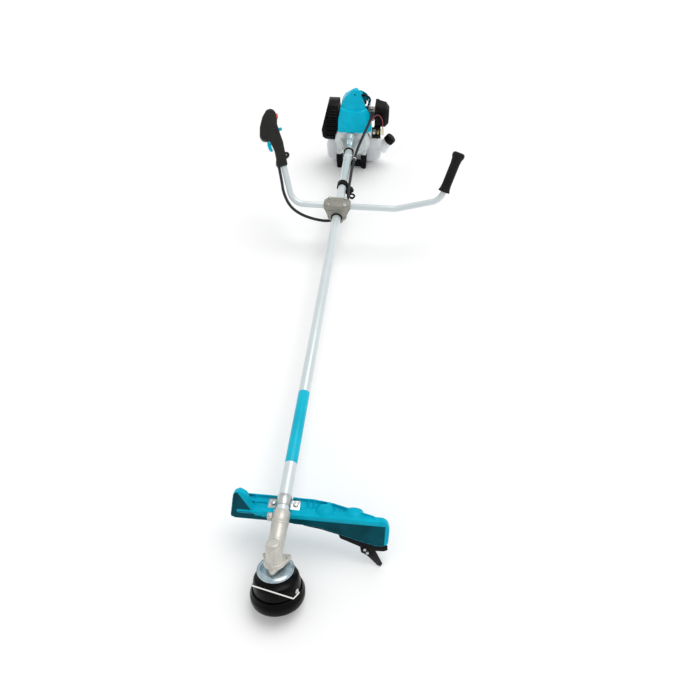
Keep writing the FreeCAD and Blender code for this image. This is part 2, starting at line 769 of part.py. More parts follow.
def makeGuardExtension():
    """The clip-on lower skirt of black plastic that carries the line knife."""
    right = guard_right
    corners = [(44, -22), (81, -25), (104, -32), (140, -42), (177, -52), (right - 22, -61), (right - 10, -66),
               (right - 1, -66), (right, -78), (right - 8, -82), (right - 27, -83), (right - 29, -97), (right - 40, -99),
               (right - 57, -90), (right - 60, -75), (right - 104, -57), (right - 107, -48), (81, -37), (60, -34),
               (44, -31)]
    radii = [2, 20, 20, 60, 60, 8, 3, 3, 3, 6, 3, 3, 3, 3, 3, 3, 2, 20, 20, 3]
    skirt = plate([onSkirt(x, h, guard_wall + slide_gap) for x, h in corners], radii, head_fore * -guard_wall)
    holes = [rod(bolt_radius - 1 + slide_gap, onSkirt(x, h, -10), onSkirt(x, h, 20)) for x, h in bladeScrewPlaces()]
    return skirt.cut(holes)


def makeLineBlade():
    """The knife that trims the line: a plate with a ground point, screwed behind the extension."""
    behind = 2 * guard_wall + 2 * slide_gap
    right = guard_right
    corners = [(right - 57, -72), (right - 38, -72), (right - 24, -90), (right - 9, -68 - blade_length),
               (right - 13, -76 - blade_length), (right - 21, -72 - blade_length), (right - 40, -104), (right - 55, -92)]
    blade = plate([onSkirt(x, h, behind) for x, h in corners], [3, 3, 10, 2, 1, 2, 10, 4], head_fore * -blade_thickness)
    holes = [rod(bolt_radius - 1 + slide_gap, onSkirt(x, h, -10), onSkirt(x, h, 20)) for x, h in bladeScrewPlaces()]
    return blade.cut(holes)


def makeBladeScrews():
    screws = []
    for x, h in bladeScrewPlaces():
        seat = onSkirt(x, h, guard_wall + slide_gap)
        screws.append(capScrew(seat, head_fore * -1, guard_wall + blade_thickness + 3, bolt_radius - 1))
    return screws


# ---- drive tube ----
def makeDriveTube():
    return sleeve(tube_radius, tube_radius - tube_wall, point(0, tube_start, 0), point(0, tube_end, 0))


def makeTubeBushes():
    """Oil-bearing bushes, spaced evenly, that hold the long shaft on the tube's axis."""
    bore = tube_radius - tube_wall
    step = (tube_length - 120) / (bush_count - 1)
    bushes = []
    for index in range(bush_count):
        start = tube_start + 50 + step * index
        bushes.append(sleeve(bore - slide_gap / 2, shaft_radius + slide_gap, point(0, start, 0),
                             point(0, start + bush_length, 0)))
    return bushes


def makeDriveShaft():
    """The long shaft: square at the gearcase end, plain where it enters the clutch drum."""
    half = square_side / 2
    square_end = pinion_shaft_end - 15
    start = pinion_shaft_end + 1
    square = block((-half, half), (square_end, start + 6), (-half, half))
    shaft = rod(shaft_radius, point(0, start, 0), point(0, drum_web + 3, 0))
    return shaft.fuse(square)


# ---- handlebar, clamp and grips ----
left_bend = point(-bar_left_reach, clamp_y, bar_height)
right_bend = point(bar_right_reach, clamp_y, bar_height)
right_rise = right_bend + point(bar_right_run, 16, bar_right_lift)
left_axis = Vector(-74, 154, 200).normalize()
right_axis = Vector(38, 60, 104).normalize()
left_out = Vector(-1, -0.35, 0)
left_out = (left_out - left_axis * left_out.dot(left_axis)).normalize()
left_across = left_axis.cross(left_out)
handle_stations = 190.0     # the handle's outline is drawn over this many stations
bar_in_handle = 100.0
bar_gap = 5.0


def onLeftHandle(outward, station, across=0.0):
    """A point on the throttle handle; its stations run from where the bar enters it to its far end."""
    along = handle_start + station * handle_length / handle_stations
    return left_bend + left_axis * along + left_out * outward + left_across * across


def onRightGrip(along):
    return right_rise + right_axis * (grip_start + along)


def makeHandlebarLeft():
    stops = [point(-bar_gap, clamp_y, bar_height), left_bend, onLeftHandle(0, bar_in_handle)]
    return piped(stops, bar_radius, bend_radius=bar_bend, bore=bar_radius - bar_wall)


def makeHandlebarRight():
    stops = [point(bar_gap, clamp_y, bar_height), right_bend, right_rise, onRightGrip(grip_length - 6)]
    return piped(stops, bar_radius, bend_radius=bar_bend, bore=bar_radius - bar_wall)


def clampOutline(width, depth, height, corner):
    half_x = width / 2
    half_y = depth / 2
    cut = corner
    plan = [(-half_x + cut, -half_y), (half_x - cut, -half_y), (half_x, -half_y + cut), (half_x, half_y - cut),
            (half_x - cut, half_y), (-half_x + cut, half_y), (-half_x, half_y - cut), (-half_x, -half_y + cut)]
    return [point(x, clamp_y + y, height) for x, y in plan]


def clampScrewPlaces():
    return [(x, clamp_y + y) for x in (-clamp_width / 4 - 4, clamp_width / 4 + 4) for y in (-17, 17)]


def barBore():
    radius = bar_radius + slide_gap
    return [rod(radius, point(-clamp_width, clamp_y, bar_height), point(clamp_width, clamp_y, bar_height))]


def tubeBore(radius):
    return [rod(radius, point(0, clamp_y - clamp_depth, 0), point(0, clamp_y + clamp_depth, 0))]


def makeHandleClampTop():
    """Cast top plate over the two bars, with sunk screw heads."""
    low_z = bar_height + air_gap
    top_z = low_z + clamp_top_thickness - 4
    edge = clampOutline(clamp_width, clamp_depth, low_z, 14)
    low = Part.Face(closed(edge)).extrude(up * (top_z - low_z))
    crown = lofted([closed(clampOutline(clamp_width, clamp_depth, top_z, 14)),
                    closed(clampOutline(clamp_width - 7, clamp_depth - 7, top_z + 4, 12))])
    tools = barBore()
    for x, y in clampScrewPlaces():
        tools.append(rod(bolt_radius + 0.3, point(x, y, 0), point(x, y, 90)))
        tools.append(rod(bolt_radius * 1.7 + 0.4, point(x, y, top_z + 1), point(x, y, 90)))
    return joined([low, crown]).cut(tools)


def makeHandleClampBase():
    """Cast middle block between the bars and the tube, tapering down to the lower cap."""
    rim = bar_height - 6
    waist = closed(clampOutline(clamp_width - 22, clamp_depth - 4, 2, 8))
    high = closed(clampOutline(clamp_width - 2, clamp_depth - 2, rim, 14))
    block_top = Part.Face(closed(clampOutline(clamp_width, clamp_depth, rim, 14))).extrude(up * 6)
    foot = Part.Face(closed(clampOutline(clamp_width - 22, clamp_depth - 4, air_gap, 8))).extrude(up * (2 - air_gap))
    solid = joined([lofted([waist, high]), block_top, foot])
    tools = barBore() + tubeBore(tube_radius + clamp_bush + slide_gap)
    for x, y in clampScrewPlaces():
        tools.append(rod(bolt_radius, point(x, y, bar_height - 14), point(x, y, 90)))
    for x, y in lowerScrewPlaces():
        tools.append(rod(bolt_radius, point(x, y, -5), point(x, y, 12)))
    return solid.cut(tools)


def lowerScrewPlaces():
    offset = tube_radius + clamp_bush + bolt_radius + 3.5
    return [(x, clamp_y + y) for x in (-offset, offset) for y in (-14, 14)]


def makeHandleClampLower():
    """Lower cap under the tube."""
    high = closed(clampOutline(clamp_width - 22, clamp_depth - 4, -air_gap, 8))
    mid = closed(clampOutline(clamp_width - 24, clamp_depth - 4, -8, 8))
    low = closed(clampOutline(36, clamp_depth - 8, -clamp_lower_depth, 6))
    solid = joined([lofted([high, mid]), lofted([mid, low])])
    tools = tubeBore(tube_radius + clamp_bush + slide_gap)
    for x, y in lowerScrewPlaces():
        tools.append(rod(bolt_radius + slide_gap, point(x, y, -60), point(x, y, 5)))
        tools.append(rod(bolt_radius * 1.7 + 0.4, point(x, y, -60), point(x, y, -8)))
    return solid.cut(tools)


def makeClampScrews():
    screws = []
    seat = bar_height + air_gap + clamp_top_thickness - 3
    for x, y in clampScrewPlaces():
        screws.append(capScrew(point(x, y, seat), up * -1, seat - bar_height + 13))
    for x, y in lowerScrewPlaces():
        screws.append(capScrew(point(x, y, -8), up, 18))
    return screws


def makeClampBush():
    """Rubber sleeve between the clamp and the tube, with a lip at each end, split underneath."""
    radius = tube_radius + clamp_bush
    half = clamp_depth / 2 + 2
    body = sleeve(radius, tube_radius + slide_gap, point(0, clamp_y - half, 0), point(0, clamp_y + half, 0))
    slit = block((-1, 1), (clamp_y - half - 1, clamp_y + half + 1), (-radius - 4, 0))
    return body.cut(slit)


def makeGripRight():
    """Rubber grip with a flared collar at its foot and a broad round cap at its end."""
    bore = bar_radius + slide_gap
    end = grip_length
    cap = grip_cap_radius
    profile = [(bore, -4), (grip_radius + 3.5, -4), (grip_radius + 4, -1), (grip_radius + 1.5, 5), (grip_radius, 18),
               (grip_radius, end - 34), (grip_radius + 1.5, end - 20), (cap - 0.5, end - 13), (cap, end - 6),
               (cap - 2.5, end - 1), (cap - 8, end + 1), (0, end + 1), (0, end - 5), (bore, end - 5)]
    return turned(profile, onRightGrip(0), right_axis)


# ---- throttle handle ----
handle_half = 16.0
trigger_pivot = (27.0, 84.0)
trigger_half = 6.5
lock_along = 122.0
switch_along = 166.0
lock_travel = 4.0
switch_travel = 6.0


def handleOutline(across):
    plan = [(-12, 0), (22, 0), (23, 12), (18, 30), (17, 58), (21, 80), (26, 90), (46, 93), (52, 110), (44, 142),
            (30, 170), (12, 190), (-6, 191), (-14, 176), (-14, 156), (-10, 138), (-12, 110), (-15, 78), (-14, 50)]
    radii = [6, 8, 10, 10, 10, 5, 5, 14, 16, 24, 14, 14, 14, 10, 10, 10, 14, 10, 10]
    return roundedLoop([onLeftHandle(a, b, across) for a, b in plan], radii)


def handleTools():
    """Everything that is cut out of the two handle shells."""
    pivot = onLeftHandle(*trigger_pivot)
    bar = rod(bar_radius + slide_gap, onLeftHandle(0, -5), onLeftHandle(0, bar_in_handle + 1))
    slot_half = trigger_half + air_gap
    slot = [onLeftHandle(a, b, -slot_half) for a, b in [(11, 56), (40, 50), (40, 91), (22, 97), (11, 92)]]
    pocket = Part.Face(Part.makePolygon(slot + [slot[0]])).extrude(left_across * (2 * slot_half))
    pin = rod(2.0 + slide_gap, pivot - left_across * 12, pivot + left_across * 12)
    lock = rod(5 + slide_gap, onLeftHandle(-30, lock_along), onLeftHandle(4, lock_along))
    switch_low = switch_along - 9 - switch_travel / 2 - air_gap
    switch_high = switch_along + 9 + switch_travel / 2 + air_gap
    corners = [onLeftHandle(a, b, -5 - air_gap) for a, b in
               [(-30, switch_low), (-8, switch_low), (-8, switch_high), (-30, switch_high)]]
    switch = Part.Face(Part.makePolygon(corners + [corners[0]])).extrude(left_across * (10 + 2 * air_gap))
    cable = rod(cable_radius + slide_gap, onLeftHandle(cable_out, -5), onLeftHandle(cable_out, 18))
    clamp_hole = rod(2.0 + slide_gap, onLeftHandle(-15, 34, -30), onLeftHandle(-15, 34, 30))
    screws = [rod(1.7 + slide_gap, onLeftHandle(a, b, -30), onLeftHandle(a, b, 30)) for a, b in handle_screw_places]
    return [bar, pocket, pin, lock, switch, cable, clamp_hole] + screws


handle_screw_places = [(38, 118), (0, 176), (4, 128)]
cable_radius = 4.5
cable_out = 15.5
wire_radius = 0.8


def makeThrottleShells():
    """The two moulded halves of the throttle handle."""
    shells = []
    for turn in (-1, 1):
        outline = handleOutline(0)
        body = Part.Face(outline).extrude(left_across * (handle_half * turn))
        far = onLeftHandle(0, 0, handle_half * turn)
        edges = [edge for edge in body.Edges
                 if abs((edge.CenterOfMass - far).dot(left_across)) < 0.01]
        body = body.makeChamfer(5.0, edges)
        boss = rod(9.0, onLeftHandle(-16, 34), onLeftHandle(-16, 34, 13 * turn))
        boss = boss.cut(rod(4.2, onLeftHandle(-16, 34, 11 * turn), onLeftHandle(-16, 34, 14 * turn)))
        shells.append(joined([body, boss]).cut(handleTools()))
    return shells


def makeHandleScrews():
    screws = []
    for a, b in handle_screw_places:
        inner = -handle_half + 4
        body = rod(1.7, onLeftHandle(a, b, -handle_half + 0.5), onLeftHandle(a, b, handle_half - 6))
        screws.append(body)
    screws.append(rod(2.0, onLeftHandle(-15, 34, -13), onLeftHandle(-15, 34, 13)))
    return screws


def makeTrigger():
    """Throttle trigger: a curved finger lever on its pin."""
    half = trigger_half
    plan = [(22, 92), (32, 91), (35, 78), (33, 62), (27, 55), (21, 57), (24, 68), (22, 80)]
    body = plate([onLeftHandle(a, b, -half) for a, b in plan], [4, 5, 20, 6, 3, 3, 10, 8], left_across * (2 * half))
    pivot = onLeftHandle(*trigger_pivot)
    return body.cut(rod(2.0 + slide_gap, pivot - left_across * 20, pivot + left_across * 20))


def makeTriggerPin():
    pivot = onLeftHandle(*trigger_pivot)
    return rod(2.0, pivot - left_across * 11.9, pivot + left_across * 11.9)


def makeLockButton():
    """The half-throttle lock button on the inner side of the handle."""
    radius = 5.0 - slide_gap
    tip = onLeftHandle(-22, lock_along)
    shoulder = onLeftHandle(-20.5, lock_along)
    return cone(radius - 1.5, radius, tip, shoulder).fuse(rod(radius, shoulder, onLeftHandle(-2, lock_along)))


def makeStopSwitch():
    corners = [onLeftHandle(a, b, -5) for a, b in [(-17, switch_along - 9), (-8 - air_gap, switch_along - 9),
                                                   (-8 - air_gap, switch_along + 9), (-17, switch_along + 9)]]
    return plate(corners, [2.5, 0.3, 0.3, 2.5], left_across * 10)


# ---- throttle cable ----
def cableStops():
    mouth = housing_mouth
    return [onLeftHandle(cable_out, 2), onLeftHandle(cable_out + 2, -46), onLeftHandle(cable_out + 6, -84),
            point(-151, clamp_y - 10, 24),
            point(-116, clamp_y - 20, 2), point(-72, clamp_y - 18, -16), point(-26, clamp_y - 4, -32),
            point(14, clamp_y + 30, -34), point(25, clamp_y + 78, -16), point(23, hanger_y - 16, 6),
            point(23, hanger_y + 40, 6), point(21, hanger_y + 100, -2), point(24, mouth - 34, -3),
            point(32, mouth + 4, 16), point(52, mouth + 36, 54),
            point(throttlePost().x + throttle_lever, mouth + 74, cable_end_z),
            point(throttlePost().x + throttle_lever, cable_end_y - slide_gap, cable_end_z)]


def makeInnerWire():
    """The bare end of the throttle wire, from the sleeve to just over the carburettor's arm."""
    x = throttlePost().x + throttle_lever
    return rod(wire_radius, point(x, cable_end_y, cable_end_z), point(x, throttlePost().y + 4, cable_end_z))


def makeThrottleCable():
    """Throttle cable and stop wires in one corrugated sleeve, from the handle to the carburettor."""
    stops = cableStops()
    path = Part.Wire(routeEdges(stops))
    loop = Part.Wire([Part.Circle(stops[0], stops[1] - stops[0], cable_radius).toShape()])
    cable = path.makePipeShell([loop], True, False)
    print("throttle cable radii", [round(radius) for radius in arcRadii(stops)],
          "length", round(path.Length), "volume share", round(cable.Volume / (math.pi * cable_radius ** 2 * path.Length), 4))
    return cable


def makeStopWires():
    """The stop wire's loop in front of the carburettor, down to its plug."""
    mouth = housing_mouth
    stops = [point(69.5, mouth + 57, 80), point(84, mouth + 63, 108), point(102, mouth + 68, 108),
             point(114, mouth + 70, 88), point(115, mouth + 71, 68), point(115, mouth + 71, 54)]
    wire = piped(stops, 1.3)
    plug = block((110, 120), (mouth + 66, mouth + 76), (28, 54))
    return [wire, plug]


# ---- harness hanger ----
hanger_bolt_x = tube_radius + hanger_wall + 10.5
hanger_eye_x = hanger_bolt_x + 17.0
hanger_knob_radius = 11.0


def onHanger(out, y, rise):
    """A point measured along the clamp's tab, which points down to the right of the tube."""
    turn = math.radians(hanger_turn)
    return point(out * math.cos(turn) + rise * math.sin(turn), y, rise * math.cos(turn) - out * math.sin(turn))


def turnedHanger(shape):
    """A shape drawn with the tab level, turned to where the tab points."""
    shape.rotate(point(0, 0, 0), back, hanger_turn)
    return shape


def makeHangerClamp():
    """Band clamp on the tube, with a split tab for its screw and the harness eye at the tab's end."""
    low = hanger_y - hanger_width / 2
    high = hanger_y + hanger_width / 2
    outer = tube_radius + hanger_wall
    tab_end = hanger_bolt_x + 7
    band = rod(outer, point(0, low, 0), point(0, high, 0))
    tab = block((0, tab_end), (low, high), (-7, 7))
    ear = [point(tab_end - 9, low, -7), point(tab_end, low, -10), point(hanger_eye_x + 6, low, -10),
           point(hanger_eye_x + 10, low, -6), point(hanger_eye_x + 10, low, 6), point(hanger_eye_x + 6, low, 10),
           point(tab_end + 8, low, 10), point(tab_end + 4, low, 6.5), point(tab_end + 1, low, 6.5),
           point(tab_end + 1, low, -1.2), point(tab_end - 9, low, -1.2)]
    eye_plate = Part.Face(closed(ear)).extrude(back * hanger_eye_thickness)
    solid = joined([band, tab, eye_plate])
    eye = rod(hanger_eye_radius, point(hanger_eye_x, low - 1, 0), point(hanger_eye_x, high + 1, 0))
    slit = block((0, tab_end + 1), (low - 1, high + 1), (-1.2, 1.2))
    bolt = rod(bolt_radius + slide_gap, point(hanger_bolt_x, hanger_y, -20), point(hanger_bolt_x, hanger_y, 20))
    bore = rod(tube_radius + slide_gap, point(0, low - 1, 0), point(0, high + 1, 0))
    return turnedHanger(solid.cut([eye, slit, bolt, bore]))


def makeHangerKnob():
    """The hand knob that tightens the hanger band, moulded on its bolt."""
    x = hanger_bolt_x
    low = 7 + air_gap
    radius = hanger_knob_radius
    knob = turned([(0, low), (radius, low), (radius, low + 7), (radius - 1.5, low + 9), (0, low + 9)],
                  point(x, hanger_y, 0), up)
    grips = [rod(2.2, point(x + (radius + 0.8) * math.cos(turn), hanger_y + (radius + 0.8) * math.sin(turn), 6),
                 point(x + (radius + 0.8) * math.cos(turn), hanger_y + (radius + 0.8) * math.sin(turn), 18))
             for turn in [math.pi / 3 * step for step in range(6)]]
    stem = rod(bolt_radius, point(x, hanger_y, -12), point(x, hanger_y, 8))
    return turnedHanger(knob.cut(grips).fuse(stem))


# ---- clutch housing and drive ----
cowl_centre = 6.0                                   # the cowl's axis lies a little to the right of the tube's
cowl_front = housing_mouth + 68.0
stand_front = cowl_front + 22.0
stand_bolt_y = stand_front + 10.0
cowl_back = cowl_front + 54.0
drum_web = tube_end + 12.0
flywheel_front = drum_web + drum_depth + 2.0
flywheel_back = flywheel_front + flywheel_width
crankcase_front = cowl_back + 2.0
crankcase_back = crankcase_front + crankcase_length
cylinder_y = crankcase_front + 30.0
drum_bearing = (6.0, 14.0, 8.0)


def onEngine(x, y, z):
    """A point measured from the clutch housing's mouth."""
    return point(x, housing_mouth + y, z)


def cowlEnvelope(gap):
    """The room that the cowl takes up, with a gap all round, for what fits over it."""
    depth = cowl_back - cowl_front
    radius = cowl_radius + gap
    return turned([(0, -gap), (radius - 14, -gap), (radius - 3, 7 - gap), (radius, 13 - gap), (radius, depth + gap),
                   (0, depth + gap)], point(cowl_centre, cowl_front, 0), back)


def makeClutchHousing():
    """Cast bell from the tube clamp to the fan cowl, with ribs and a split, screwed collar."""
    start = point(0, housing_mouth, 0)
    depth = cowl_front - housing_mouth
    outer = [(0, 0), (mouth_radius, 0), (mouth_radius + 0.5, 14), (mouth_radius + 1, 20), (bell_radius - 4, 50),
             (bell_radius, depth - 8), (bell_radius + 4, depth - 2), (bell_radius + 4, depth + 4), (0, depth + 4)]
    bell = turned(outer, start, back)
    cowl_start = point(cowl_centre, cowl_front, 0)
    cowl_depth = cowl_back - cowl_front
    cowl = cowlEnvelope(0)
    ribs = []
    for turn in (20, 70, 110, 160, 205, 335):
        angle = math.radians(turn)
        outward = side * math.cos(angle) + up * math.sin(angle)
        across = back.cross(outward) * 1.75
        corners = [start + outward * (mouth_radius - 3) + back * 16, start + outward * (mouth_radius + 1) + back * 16,
                   start + outward * (bell_radius + 8) + back * (depth + 2),
                   start + outward * (bell_radius - 8) + back * (depth + 2)]
        rib = Part.Face(Part.makePolygon([corner - across for corner in corners + [corners[0]]])).extrude(across * 2)
        ribs.append(rib)
    feet = []
    for x in (-stand_foot_span / 2, stand_foot_span / 2):
        feet.append(block((x - 9, x + 9), (stand_bolt_y - 8, stand_bolt_y + 8), (-cowl_radius - 4, -30)))
    lugs = block((-mouth_radius - 9, 0), (housing_mouth + 2, housing_mouth + 16), (-7, 7))
    solid = joined([bell, cowl] + ribs + feet + [lugs])
    inner_start = cowl_start + back * 6
    inner = turned([(0, 0), (cowl_radius - 14, 0), (cowl_radius - cowl_wall - 1, 8),
                    (cowl_radius - cowl_wall, 14), (cowl_radius - cowl_wall, cowl_depth), (0, cowl_depth)],
                   inner_start, back)
    bush_outer = tube_radius + mouth_bush - 2
    slit = block((-mouth_radius - 12, 0), (housing_mouth - 1, housing_mouth + 26), (-1.2, 1.2))
    hidden_slit = slit.cut(rod(bush_outer - 1, start, onEngine(0, 60, 0)))
    lug_x = -mouth_radius - 4
    tools = [rod(bush_outer + slide_gap, onEngine(0, -1, 0), point(0, tube_end - 6, 0)),
             rod(tube_radius + slide_gap, point(0, tube_end - 7, 0), point(0, tube_end, 0)),
             rod(drum_bearing[1] - 2, point(0, tube_end - 1, 0), point(0, tube_end + 1, 0)),
             rod(drum_bearing[1], point(0, tube_end + 1, 0), point(0, tube_end + 1 + drum_bearing[2], 0)),
             rod(drum_bearing[1] - 1.5, point(0, tube_end, 0), point(0, tube_end + 14, 0)),
             rod(bolt_radius - 0.5 + slide_gap, point(lug_x, housing_mouth + 9, -9), point(lug_x, housing_mouth + 9, 9)),
             inner, hidden_slit]
    for x in (-stand_foot_span / 2, stand_foot_span / 2):
        low = point(x, stand_bolt_y, -cowl_radius - 5)
        tools.append(rod(bolt_radius, low, low + up * 13))
    return solid.cut(tools)


def makeMouthBush():
    """Rubber anti-vibration bush round the end of the tube, with the black lip seen at the mouth."""
    outer = tube_radius + mouth_bush - 2
    body = sleeve(outer, tube_radius + slide_gap, onEngine(0, 0, 0), point(0, tube_end - 6 - air_gap, 0))
    lip = sleeve(outer + 1.5, tube_radius + slide_gap, onEngine(0, -3, 0), onEngine(0, 0, 0))
    return body.fuse(lip)


def makeDrumBearing():
    return race(drum_bearing, point(0, tube_end + 1, 0), back, 0)


def makeClutchDrum():
    """Clutch drum with its journal, keyed to the end of the drive shaft."""
    journal = drum_bearing[0] - slide_gap / 2
    start = point(0, drum_web, 0)
    profile = [(shaft_radius, -11), (journal, -11), (journal, -1), (journal + 3, -1), (journal + 3, 0),
               (drum_radius - 2, 0), (drum_radius, 2), (drum_radius, drum_depth), (drum_radius - 2.5, drum_depth),
               (drum_radius - 2.5, 3), (journal + 3, 3), (journal + 3, 5), (shaft_radius, 5)]
    drum = turned(profile, start, back)
    holes = [rod(5, start + outward * 24 - back, start + outward * 24 + back * 5)
             for outward in [side * math.cos(turn) + up * math.sin(turn)
                             for turn in [math.pi / 3 * step for step in range(6)]]]
    return drum.cut(holes)


def makeClutchShoes():
    """Two sprung shoes on their pivot bolts, drawn in clear of the drum."""
    outer = drum_radius - 2.5 - turn_gap
    low = drum_web + 7
    high = flywheel_front
    shoes = []
    ring = sleeve(outer, outer - 11, point(0, low, 0), point(0, high - 3, 0))
    for turn in (0, 180):
        window = block((-30, 30), (low - 1, high), (4, outer + 1))
        window.rotate(point(0, 0, 0), back, turn)
        shoe = ring.common(window)
        pivot = point(24, 0, 14)
        bolt = rod(3.5, pivot + back * (low - 2), pivot + back * high)
        bolt.rotate(point(0, 0, 0), back, turn)
        shoes.append(joined([shoe, bolt]))
    return shoes


def makeFlywheel():
    """Flywheel with fan blades on its front face and the magnet boss on its rim."""
    start = point(0, flywheel_front, 0)
    profile = [(crank_radius, 0), (18, 0), (18, 6), (flywheel_radius - 16, 6), (flywheel_radius - 14, 9),
               (flywheel_radius, 9), (flywheel_radius, flywheel_width), (crank_radius, flywheel_width)]
    wheel = turned(profile, start, back)
    blades = []
    for step in range(fan_blades):
        blade = block((flywheel_radius - 15, flywheel_radius - 1), (flywheel_front, flywheel_front + 10), (-1, 1))
        blade.rotate(start, back, 360 * step / fan_blades)
        blades.append(blade)
    plugs = []
    for turn in (0, 180):
        seat = rod(5, point(24, flywheel_front, 14), point(24, flywheel_front + 8, 14))
        seat.rotate(point(0, 0, 0), back, turn)
        plugs.append(seat)
    return joined([wheel] + blades + plugs)


def makeCrankshaft():
    """Both ends of the crankshaft: the flywheel's taper in front and the starter's dog behind."""
    front = flywheel_front + 0.5
    rear = crankcase_back + 4.5
    shaft = rod(crank_radius, point(0, front, 0), point(0, rear, 0))
    nut = plate([point(9 * math.cos(math.pi / 3 * step), front - 5, 9 * math.sin(math.pi / 3 * step))
                 for step in range(6)], 0.5, back * 5)
    cup = rod(20, point(0, crankcase_back + 1.2, 0), point(0, rear, 0))
    return joined([shaft, nut, cup])


def makeCrankcase():
    """Crankcase round the crankshaft, with the cylinder's seat, its rear posts and the bearing bores."""
    case = turned([(crank_radius + turn_gap, 0), (crankcase_radius - 12, 0), (crankcase_radius, 10),
                   (crankcase_radius, crankcase_length - 8), (crankcase_radius - 10, crankcase_length),
                   (crank_radius + turn_gap, crankcase_length)], point(0, crankcase_front, 0), back)
    seat = block((-27, 27), (cylinder_y - 27, cylinder_y + 27), (20, cylinder_base))
    posts = []
    for turn in (45, 135, 225, 315):
        angle = math.radians(turn)
        centre = side * math.cos(angle) * (starter_radius - 8) + up * math.sin(angle) * (starter_radius - 8)
        posts.append(rod(5.5, centre + back * (crankcase_front + 0.0), centre + back * crankcase_back))
        inner = centre * 0.55
        arm = Part.makeBox(6, crankcase_length, 34)
        arm.translate(point(-3, crankcase_front, 0))
        arm.translate(point(0, 0, crankcase_radius - 16))
        arm.rotate(point(0, 0, 0), back, 90 - turn)
        posts.append(arm)
    solid = joined([case, seat] + posts)
    throat = rod(cylinder_radius - 5, point(0, cylinder_y, crank_radius + 3), point(0, cylinder_y, cylinder_base + 1))
    shaft_way = rod(crank_radius + turn_gap, point(0, crankcase_front - 1, 0), point(0, crankcase_back + 1, 0))
    return solid.cut([shaft_way, throat])


def makeCylinder():
    """Finned cylinder with its intake and exhaust faces."""
    crown = point(0, cylinder_y, cylinder_top - 7)
    barrel = rod(cylinder_radius, point(0, cylinder_y, cylinder_base), crown)
    crown_cone = cone(cylinder_radius, cylinder_radius - 7, crown, crown + up * 7)
    fins = []
    step = (cylinder_top - cylinder_base - 12) / (fin_count - 1)
    for index in range(fin_count):
        low = cylinder_base + 8 + index * step
        half = fin_half_width - (9 if index > fin_count - 3 else 0)
        deep = half - 10
        corners = [point(x * (half - cut_x), cylinder_y + y * (deep - cut_y), low)
                   for x, y, cut_x, cut_y in ((-1, -1, 7, 0), (1, -1, 7, 0), (1, -1, 0, 7), (1, 1, 0, 7),
                                              (1, 1, 7, 0), (-1, 1, 7, 0), (-1, 1, 0, 7), (-1, -1, 0, 7))]
        fins.append(Part.Face(closed(corners)).extrude(up * fin_thickness))
    foot = block((-27, 27), (cylinder_y - 27, cylinder_y + 27), (cylinder_base, cylinder_base + 5))
    port = block((-fin_half_width - 3, fin_half_width + 3), (cylinder_y - 13, cylinder_y + 13),
                 (port_height - 13, port_height + 13))
    boss = rod(11, plug_seat - plug_axis * 16, plug_seat)
    solid = joined([barrel, crown_cone, foot, port, boss] + fins)
    return solid.cut([rod(bolt_radius + 1, plug_seat - plug_axis * 12, plug_seat + plug_axis)])


port_height = 74.0
plug_axis = Vector(0.45, -0.35, 0.82).normalize()
plug_seat = point(8, cylinder_y - 6, cylinder_top + 7)
boot_tail = point(20, 0, -6)


def makeSparkPlug():
    shell = turned([(0, -11), (bolt_radius + 0.95, -11), (bolt_radius + 0.95, 0), (9, 0), (9, 5), (6, 6), (5, 8),
                    (4.5, 22), (2, 23), (2, 28), (0, 28)], plug_seat, plug_axis)
    return shell


def makePlugBoot():
    """Rubber boot over the plug, turning into the lead's socket."""
    start = plug_seat + plug_axis * 9
    body = turned([(0, 0), (8.5, 0), (8.5, 27), (5.5, 32), (0, 32)], start, plug_axis)
    lead = rod(5, start + plug_axis * 26, start + plug_axis * 26 + boot_tail)
    hollow = rod(5.2, start - plug_axis, start + plug_axis * 21)
    return joined([body, lead]).cut(hollow)


def makeIgnitionCoil():
    """Ignition coil beside the crankcase, with its fixing ear and the lead's socket."""
    low = crankcase_front
    core = block((50, 68), (low, low + 10), (24, 48))
    ear = block((43.9, 51), (low, low + 10), (34, 40))
    stem = rod(4, point(59, low + 5, 48), point(59, low + 5, 56))
    return joined([core, ear, stem])


lead_radius = 3.0


def leadStops():
    """The lead's route: from the plug's boot, in through the cover's window and down to the coil."""
    tip = plug_seat + plug_axis * 35 + boot_tail
    low = crankcase_front + 5
    return [tip, tip + boot_tail * 0.8, point(66, low - 2, 134), point(57, low - 6, 112), point(56, low - 6, 88),
            point(59, low, 70), point(59, low, 56)]


def makeIgnitionLead():
    stops = leadStops()
    print("lead radii", [round(radius) for radius in arcRadii(stops)])
    return piped(stops, lead_radius)


# ---- exhaust side ----
def makeMuffler():
    """Welded muffler box on the exhaust port, with its outlet."""
    right = -fin_half_width - 5
    low, high = 30, 100
    cut = 12
    section = [(cylinder_y - 28, low + cut), (cylinder_y - 28 + cut, low), (cylinder_y + 28 - cut, low),
               (cylinder_y + 28, low + cut), (cylinder_y + 28, high - cut), (cylinder_y + 28 - cut, high),
               (cylinder_y - 28 + cut, high), (cylinder_y - 28, high - cut)]
    body = Part.Face(closed([point(right, y, z) for y, z in section])).extrude(side * -muffler_depth)
    gasket = block((right, -fin_half_width - 3), (cylinder_y - 16, cylinder_y + 16),
                   (port_height - 16, port_height + 16))
    outlet = rod(7, point(muffler_outlet_x, cylinder_y + 20, 44), point(muffler_outlet_x, cylinder_y + 42, 40))
    return joined([body, gasket, outlet])


muffler_depth = 36.0
muffler_outlet_x = -fin_half_width - 24
muffler_left = -108.0
muffler_right = -48.5
muffler_low = -10.0
muffler_high = 122.0
muffler_front = 88.0
muffler_wall = 2.5
slot_pitch = 17.0
slot_height = 6.5


